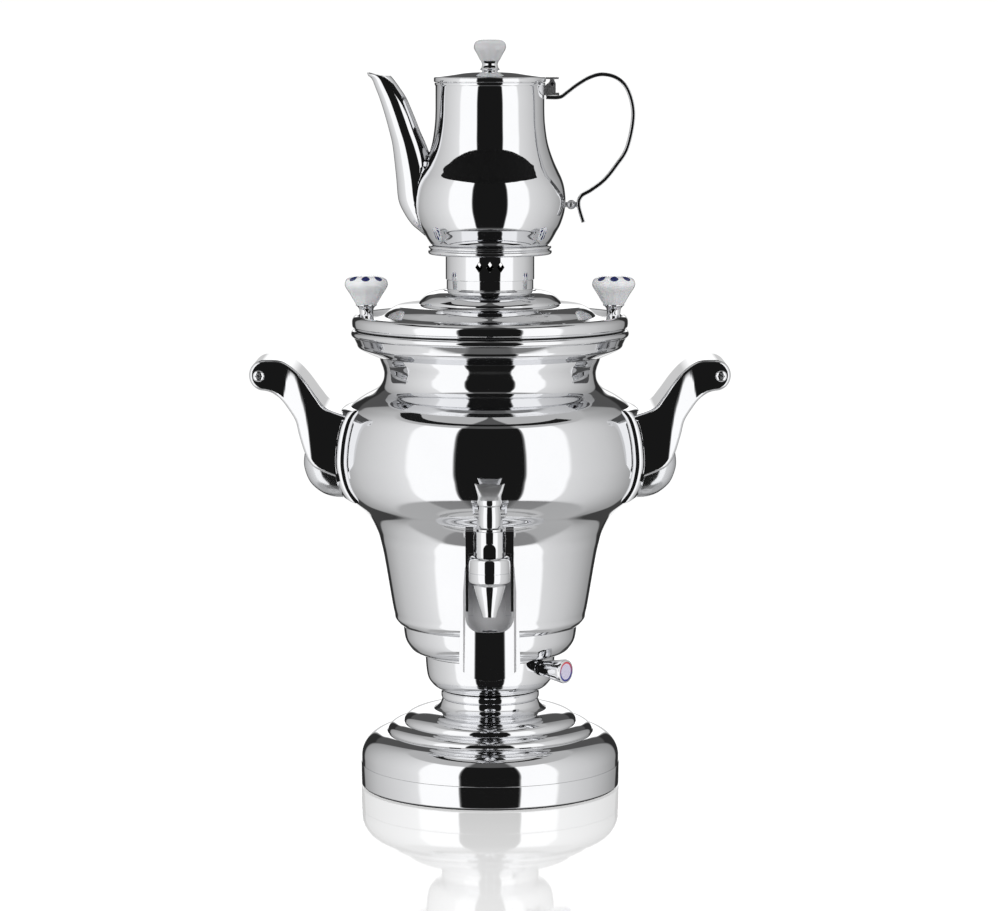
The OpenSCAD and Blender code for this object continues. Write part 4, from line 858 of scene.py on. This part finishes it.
# The key's grip flares from the round stem to a thin, wide blade with a hollow top edge.
def buildKeyFan(at, foot):
    grip, tall, hollow = key["grip"], key["tall"], key["hollow"]
    bow = sqrt((grip - 1) ** 2 + hollow * hollow)
    widths = smoothCurve([(0, 7.1), (2.5, 7.2), (6.2, grip - 1), (8.4, grip - 0.4), (tall, grip)], 4)
    depths = smoothCurve([(0, 6.5), (2, 4.6), (4, 3.3), (6.4, 2.3), (tall, 1.5)], 4)
    around = [2 * pi * k / 72 for k in range(72)]
    bm = bmesh.new()
    rings = []
    for share in (k / 16 for k in range(17)):
        ring = []
        for turn in around:
            x, y = (abs(part) ** key["squareness"] * (1 if part > 0 else -1)
                    for part in (cos(turn), sin(turn)))
            x *= valueAt(widths, share * tall)
            y *= valueAt(depths, share * tall)
            dip = min(hollow - sqrt(max(bow * bow - x * x, 0)), 0)
            ring.append(bm.verts.new((x * mm, y * mm, (foot + share * (tall + dip)) * mm)))
        rings.append(ring)
    for low, high in zip(rings, rings[1:]):
        for a, b, c, d in zip(low, low[1:] + low[:1], high[1:] + high[:1], high):
            bm.faces.new((a, b, c, d))
    bm.faces.new(rings[0][::-1])
    crestFace = bm.faces.new(rings[-1])
    bmesh.ops.bevel(bm, geom=crestFace.edges[:], offset=key["crest"] * mm, offset_type="OFFSET",
                    affect="EDGES", segments=3, profile=0.5, material=-1, clamp_overlap=True)
    bmesh.ops.transform(bm, matrix=at, verts=bm.verts[:])
    bmesh.ops.recalc_face_normals(bm, faces=bm.faces[:])
    finishPiece(bm, "tapKeyFan", brushedSteel, "tap_key", sharpAt=45)


buildTap()
fromSolid("tap_body", bevel=0.5)
paddle = fromSolid("tap_paddle", bevel=0.35)
# the recess behind the nozzle is dull, the rest of the paddle polished
paddle.data.materials.append(blastedSteel)
for face in paddle.data.polygons:
    inside = recess["front"] < face.center.y < recess["back"] and face.center.z > recess["foot"]
    if inside and face.normal.y < -0.9:
        face.material_index = 1
fromSolid("tap_bonnet", bevel=0.2)
fromSolid("paddle_pins", look=mirrorSteel, bevel=0.2)
fromSolid("tap_washer", look=mirrorSteel, bevel=0.3)
print("samovar: tap done")

# The thermostat's knob with its printed disc.
dial = {"turn": 52, "z": 80.4, "foot": 43.1, "length": 18.6, "root": 4.9, "radius": 7.7,
        "ring": 0.0051, "fade": (-0.002, 0.005)}


def buildDial():
    turn = radians(dial["turn"])
    axis = Vector((sin(turn), -cos(turn), 0))
    place = (Matrix.Translation((0, 0, dial["z"] * mm))
             @ Vector((0, 0, 1)).rotation_difference(axis).to_matrix().to_4x4())
    f, n, r = dial["foot"], dial["length"], dial["radius"]
    knob = ([(3.0, f), (dial["root"] - 0.3, f), (dial["root"], f + 0.3), (r - 0.25, f + n - 3.4),
             (r - 0.1, f + n - 2.4), (r, f + n - 1.2), (r - 0.3, f + n - 0.3), (r - 0.8, f + n),
             (r - 1.3, f + n), (r - 1.4, f + n - 0.7), (0, f + n - 0.7)])
    turned("thermostatKnob", knob + [(0, f + 10), (3.0, f + 10)], "thermostat_knob", steps=96,
           place=place)
    mat, tree, shader, coords = nodeMaterial("dialPrint")
    local = addNode(tree, "ShaderNodeMapping", vector_type="TEXTURE",
                    Location=(0, 0, dial["z"] * mm), Rotation=(0, 0, turn), Vector=coords)
    split = addNode(tree, "ShaderNodeSeparateXYZ", Vector=local.outputs["Vector"])
    x, z = split.outputs["X"], split.outputs["Z"]
    away = calc(tree, "SQRT", calc(tree, "ADD", calc(tree, "MULTIPLY", x, x),
                                   calc(tree, "MULTIPLY", z, z)))
    edge = calc(tree, "GREATER_THAN", away, dial["ring"])
    ring = mixColors(tree, rampBetween(tree, z, 0, 1, *dial["fade"]),
                     (0.03, 0.03, 0.30, 1), (0.75, 0.08, 0.10, 1))
    feedAll(shader, {"Base Color": mixColors(tree, edge, (0.72, 0.68, 0.86, 1), ring),
                     "Roughness": 0.25, "Coat Weight": 0.3})
    disc = [(0, f + n - 0.7), (6.3, f + n - 0.7), (6.3, f + n - 0.35), (6.1, f + n - 0.2),
            (0, f + n - 0.2)]
    turned("dialDisc", disc, "dial_disc", look=mat, steps=96, place=place, closed=False)


buildDial()
print("samovar: thermostat done")

# Fittings that keep their CAD shape only get their material.
dressed = {o for piece in bpy.data.objects for o in piece.get("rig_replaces", [])}
for node, solid in frame["nodes"].items():
    if node in dressed:
        continue
    look = insideSteel if node in ("vessel_floor", "heating_element") else slotLooks[slotOf[node]]
    solid.data.materials.clear()
    solid.data.materials.append(look)
print("samovar: fittings dressed")

floorSheet = {"radius": 1.2, "rough": 0.05, "mirror": 0.42, "near": -0.62, "far": -0.09}


# A clear acrylic sheet on white: only its faint mirror image shows, and fades towards the camera.
def buildFloor():
    bm = bmesh.new()
    bmesh.ops.create_circle(bm, cap_ends=True, segments=96, radius=floorSheet["radius"])
    floor = placeObject("floor", meshFrom(bm, "floor"))
    mat = bpy.data.materials.new("floorSheet")
    mat.use_nodes = True
    tree = mat.node_tree
    tree.nodes.remove(tree.nodes["Principled BSDF"])
    out = tree.nodes["Material Output"]
    clear = tree.nodes.new("ShaderNodeBsdfTransparent")
    gloss = addNode(tree, "ShaderNodeBsdfGlossy", Color=(1, 1, 1, 1), Roughness=floorSheet["rough"])
    place = tree.nodes.new("ShaderNodeTexCoord")
    split = addNode(tree, "ShaderNodeSeparateXYZ", Vector=place.outputs["Object"])
    fade = rampBetween(tree, split.outputs["Y"], 0, floorSheet["mirror"], floorSheet["near"],
                       floorSheet["far"])
    mix = addNode(tree, "ShaderNodeMixShader", Fac=fade)
    feed(mix.inputs[1], clear.outputs[0])
    feed(mix.inputs[2], gloss.outputs[0])
    feed(out.inputs["Surface"], mix.outputs[0])
    floor.data.materials.append(mat)


flag = {"reach": 0.3, "low": 0.572, "high": 0.733, "from": -112, "to": 88}


# A black flag hung in front, above the picture: the teapot mirrors it as a band across its waist.
def buildFlag():
    bm = bmesh.new()
    points = [(flag["reach"] * sin(radians(b)), -flag["reach"] * cos(radians(b)), flag["low"])
              for b in range(flag["from"], flag["to"] + 1, 4)]
    verts = [bm.verts.new(p) for p in points]
    edges = [bm.edges.new((a, b)) for a, b in zip(verts, verts[1:])]
    raised = bmesh.ops.extrude_edge_only(bm, edges=edges)["geom"]
    bmesh.ops.translate(bm, vec=(0, 0, flag["high"] - flag["low"]),
                        verts=[v for v in raised if isinstance(v, bmesh.types.BMVert)])
    cloth = placeObject("flag", meshFrom(bm, "flag"))
    mat = bpy.data.materials.new("flagCloth")
    mat.use_nodes = True
    shader = mat.node_tree.nodes["Principled BSDF"]
    feedAll(shader, {"Base Color": (0.02, 0.02, 0.02, 1), "Roughness": 0.9, "Specular IOR Level": 0})
    cloth.data.materials.append(mat)


# Studio round the samovar, as (bearing in degrees from the camera's side, brightness): black card
# in front, white boxes beside it and grey walls that darken to the rear. Behind it are dark flags
# and the backdrop, which is dim below the horizon line, bright above it and dark from the shelf up.
studio = {
    "sides": [(-150, 0.36), (-140, 0.44), (-120, 0.60), (-100, 0.70), (-80, 0.80), (-67, 0.88),
              (-64, 1.15), (-28, 1.15), (-26.5, 0.010), (26.5, 0.010), (28, 1.15), (61, 1.15),
              (64, 0.80), (80, 0.73), (100, 0.64), (120, 0.51), (140, 0.37), (150, 0.32)],
    "ceiling": [(-180, 0.09), (-152, 0.09), (-148, 0.5), (-28, 0.5), (-22, 0.10), (22, 0.10),
                (28, 0.5), (148, 0.5), (152, 0.09), (180, 0.09)],
    "below": [(-180, 0.42), (-66, 0.40), (-60, 0.13), (60, 0.13), (66, 0.40), (180, 0.42)],
    "dim": 0.62, "bright": 1.35, "dark": 0.09, "flags": 0.03, "table": 0.6, "paper": 1.03,
    "horizonAt": 4.5, "shelfAt": 18, "ceilingAt": 47, "footAt": -49, "tableAt": -68, "blend": 1.2,
}


def wallsWith(backdrop):
    flags = studio["flags"]
    return ([(-180, backdrop), (-170, backdrop), (-168.5, flags), (-153, flags)] + studio["sides"]
            + [(153, flags), (168.5, flags), (170, backdrop), (180, backdrop)])


def highWalls():
    dark = studio["dark"]
    return [(-180, dark), (-152, dark)] + studio["sides"] + [(152, dark), (180, dark)]


def fillRamp(node, stops):
    ramp = node.color_ramp
    while len(ramp.elements) > 1:
        ramp.elements.remove(ramp.elements[-1])
    for i, (bearing, value) in enumerate(stops):
        at = 0.5 + bearing / 360
        spot = ramp.elements[0] if i == 0 else ramp.elements.new(at)
        spot.position = at
        spot.color = (value, value, value, 1)


def buildWorld():
    world = bpy.data.worlds.new("studio")
    bpy.context.scene.world = world
    world.use_nodes = True
    tree = world.node_tree
    background = tree.nodes["Background"]
    coords = tree.nodes.new("ShaderNodeTexCoord")
    split = addNode(tree, "ShaderNodeSeparateXYZ", Vector=coords.outputs["Generated"])
    front = calc(tree, "MULTIPLY", split.outputs["Y"], -1)
    turn = calc(tree, "ARCTAN2", split.outputs["X"], front)
    bearing = rampBetween(tree, turn, 0, 1, -pi, pi)

    def band(stops):
        ramp = addNode(tree, "ShaderNodeValToRGB", Fac=bearing)
        fillRamp(ramp, stops)
        return ramp.outputs["Color"]

    table, paper = studio["table"], studio["paper"]
    shade = band(wallsWith(studio["dim"]))
    for other, edge, way in ((band(wallsWith(studio["bright"])), studio["horizonAt"], 1),
                             (band(highWalls()), studio["shelfAt"], 1),
                             (band(studio["ceiling"]), studio["ceilingAt"], 1),
                             (band(studio["below"]), studio["footAt"], -1),
                             ((table, table, table, 1), studio["tableAt"], -1)):
        blend = studio["blend"] * way
        share = rampBetween(tree, split.outputs["Z"], 0, 1, sin(radians(edge - blend)),
                            sin(radians(edge + blend)))
        shade = mixColors(tree, share, shade, other)
    path = tree.nodes.new("ShaderNodeLightPath")
    seen = mixColors(tree, path.outputs["Is Camera Ray"], shade, (paper, paper, paper, 1))
    feed(background.inputs["Color"], seen)


# Lamps that light the glaze and the dull finishes; the polished steel doesn't mirror them.
def softBox(name, azimuth, elevation, distance, size, power):
    data = bpy.data.lights.new(name, "AREA")
    data.shape = "RECTANGLE"
    data.size, data.size_y = size
    data.energy = power
    lamp = placeObject(name, data)
    a, e = radians(azimuth), radians(elevation)
    spot = Vector((sin(a) * cos(e), -cos(a) * cos(e), sin(e))) * distance
    lamp.location = spot + Vector((0, 0, 0.24))
    lamp.rotation_euler = spot.to_track_quat("Z", "Y").to_euler()
    lamp.visible_camera = False
    lamp.visible_glossy = False


buildFloor()
buildFlag()
buildWorld()
softBox("leftBox", -45, 22, 2.4, (1.2, 1.6), 22)
softBox("rightBox", 45, 22, 2.4, (1.2, 1.6), 18)
softBox("topBox", 180, 70, 2.2, (1.6, 1.6), 16)
print("samovar: studio ready")
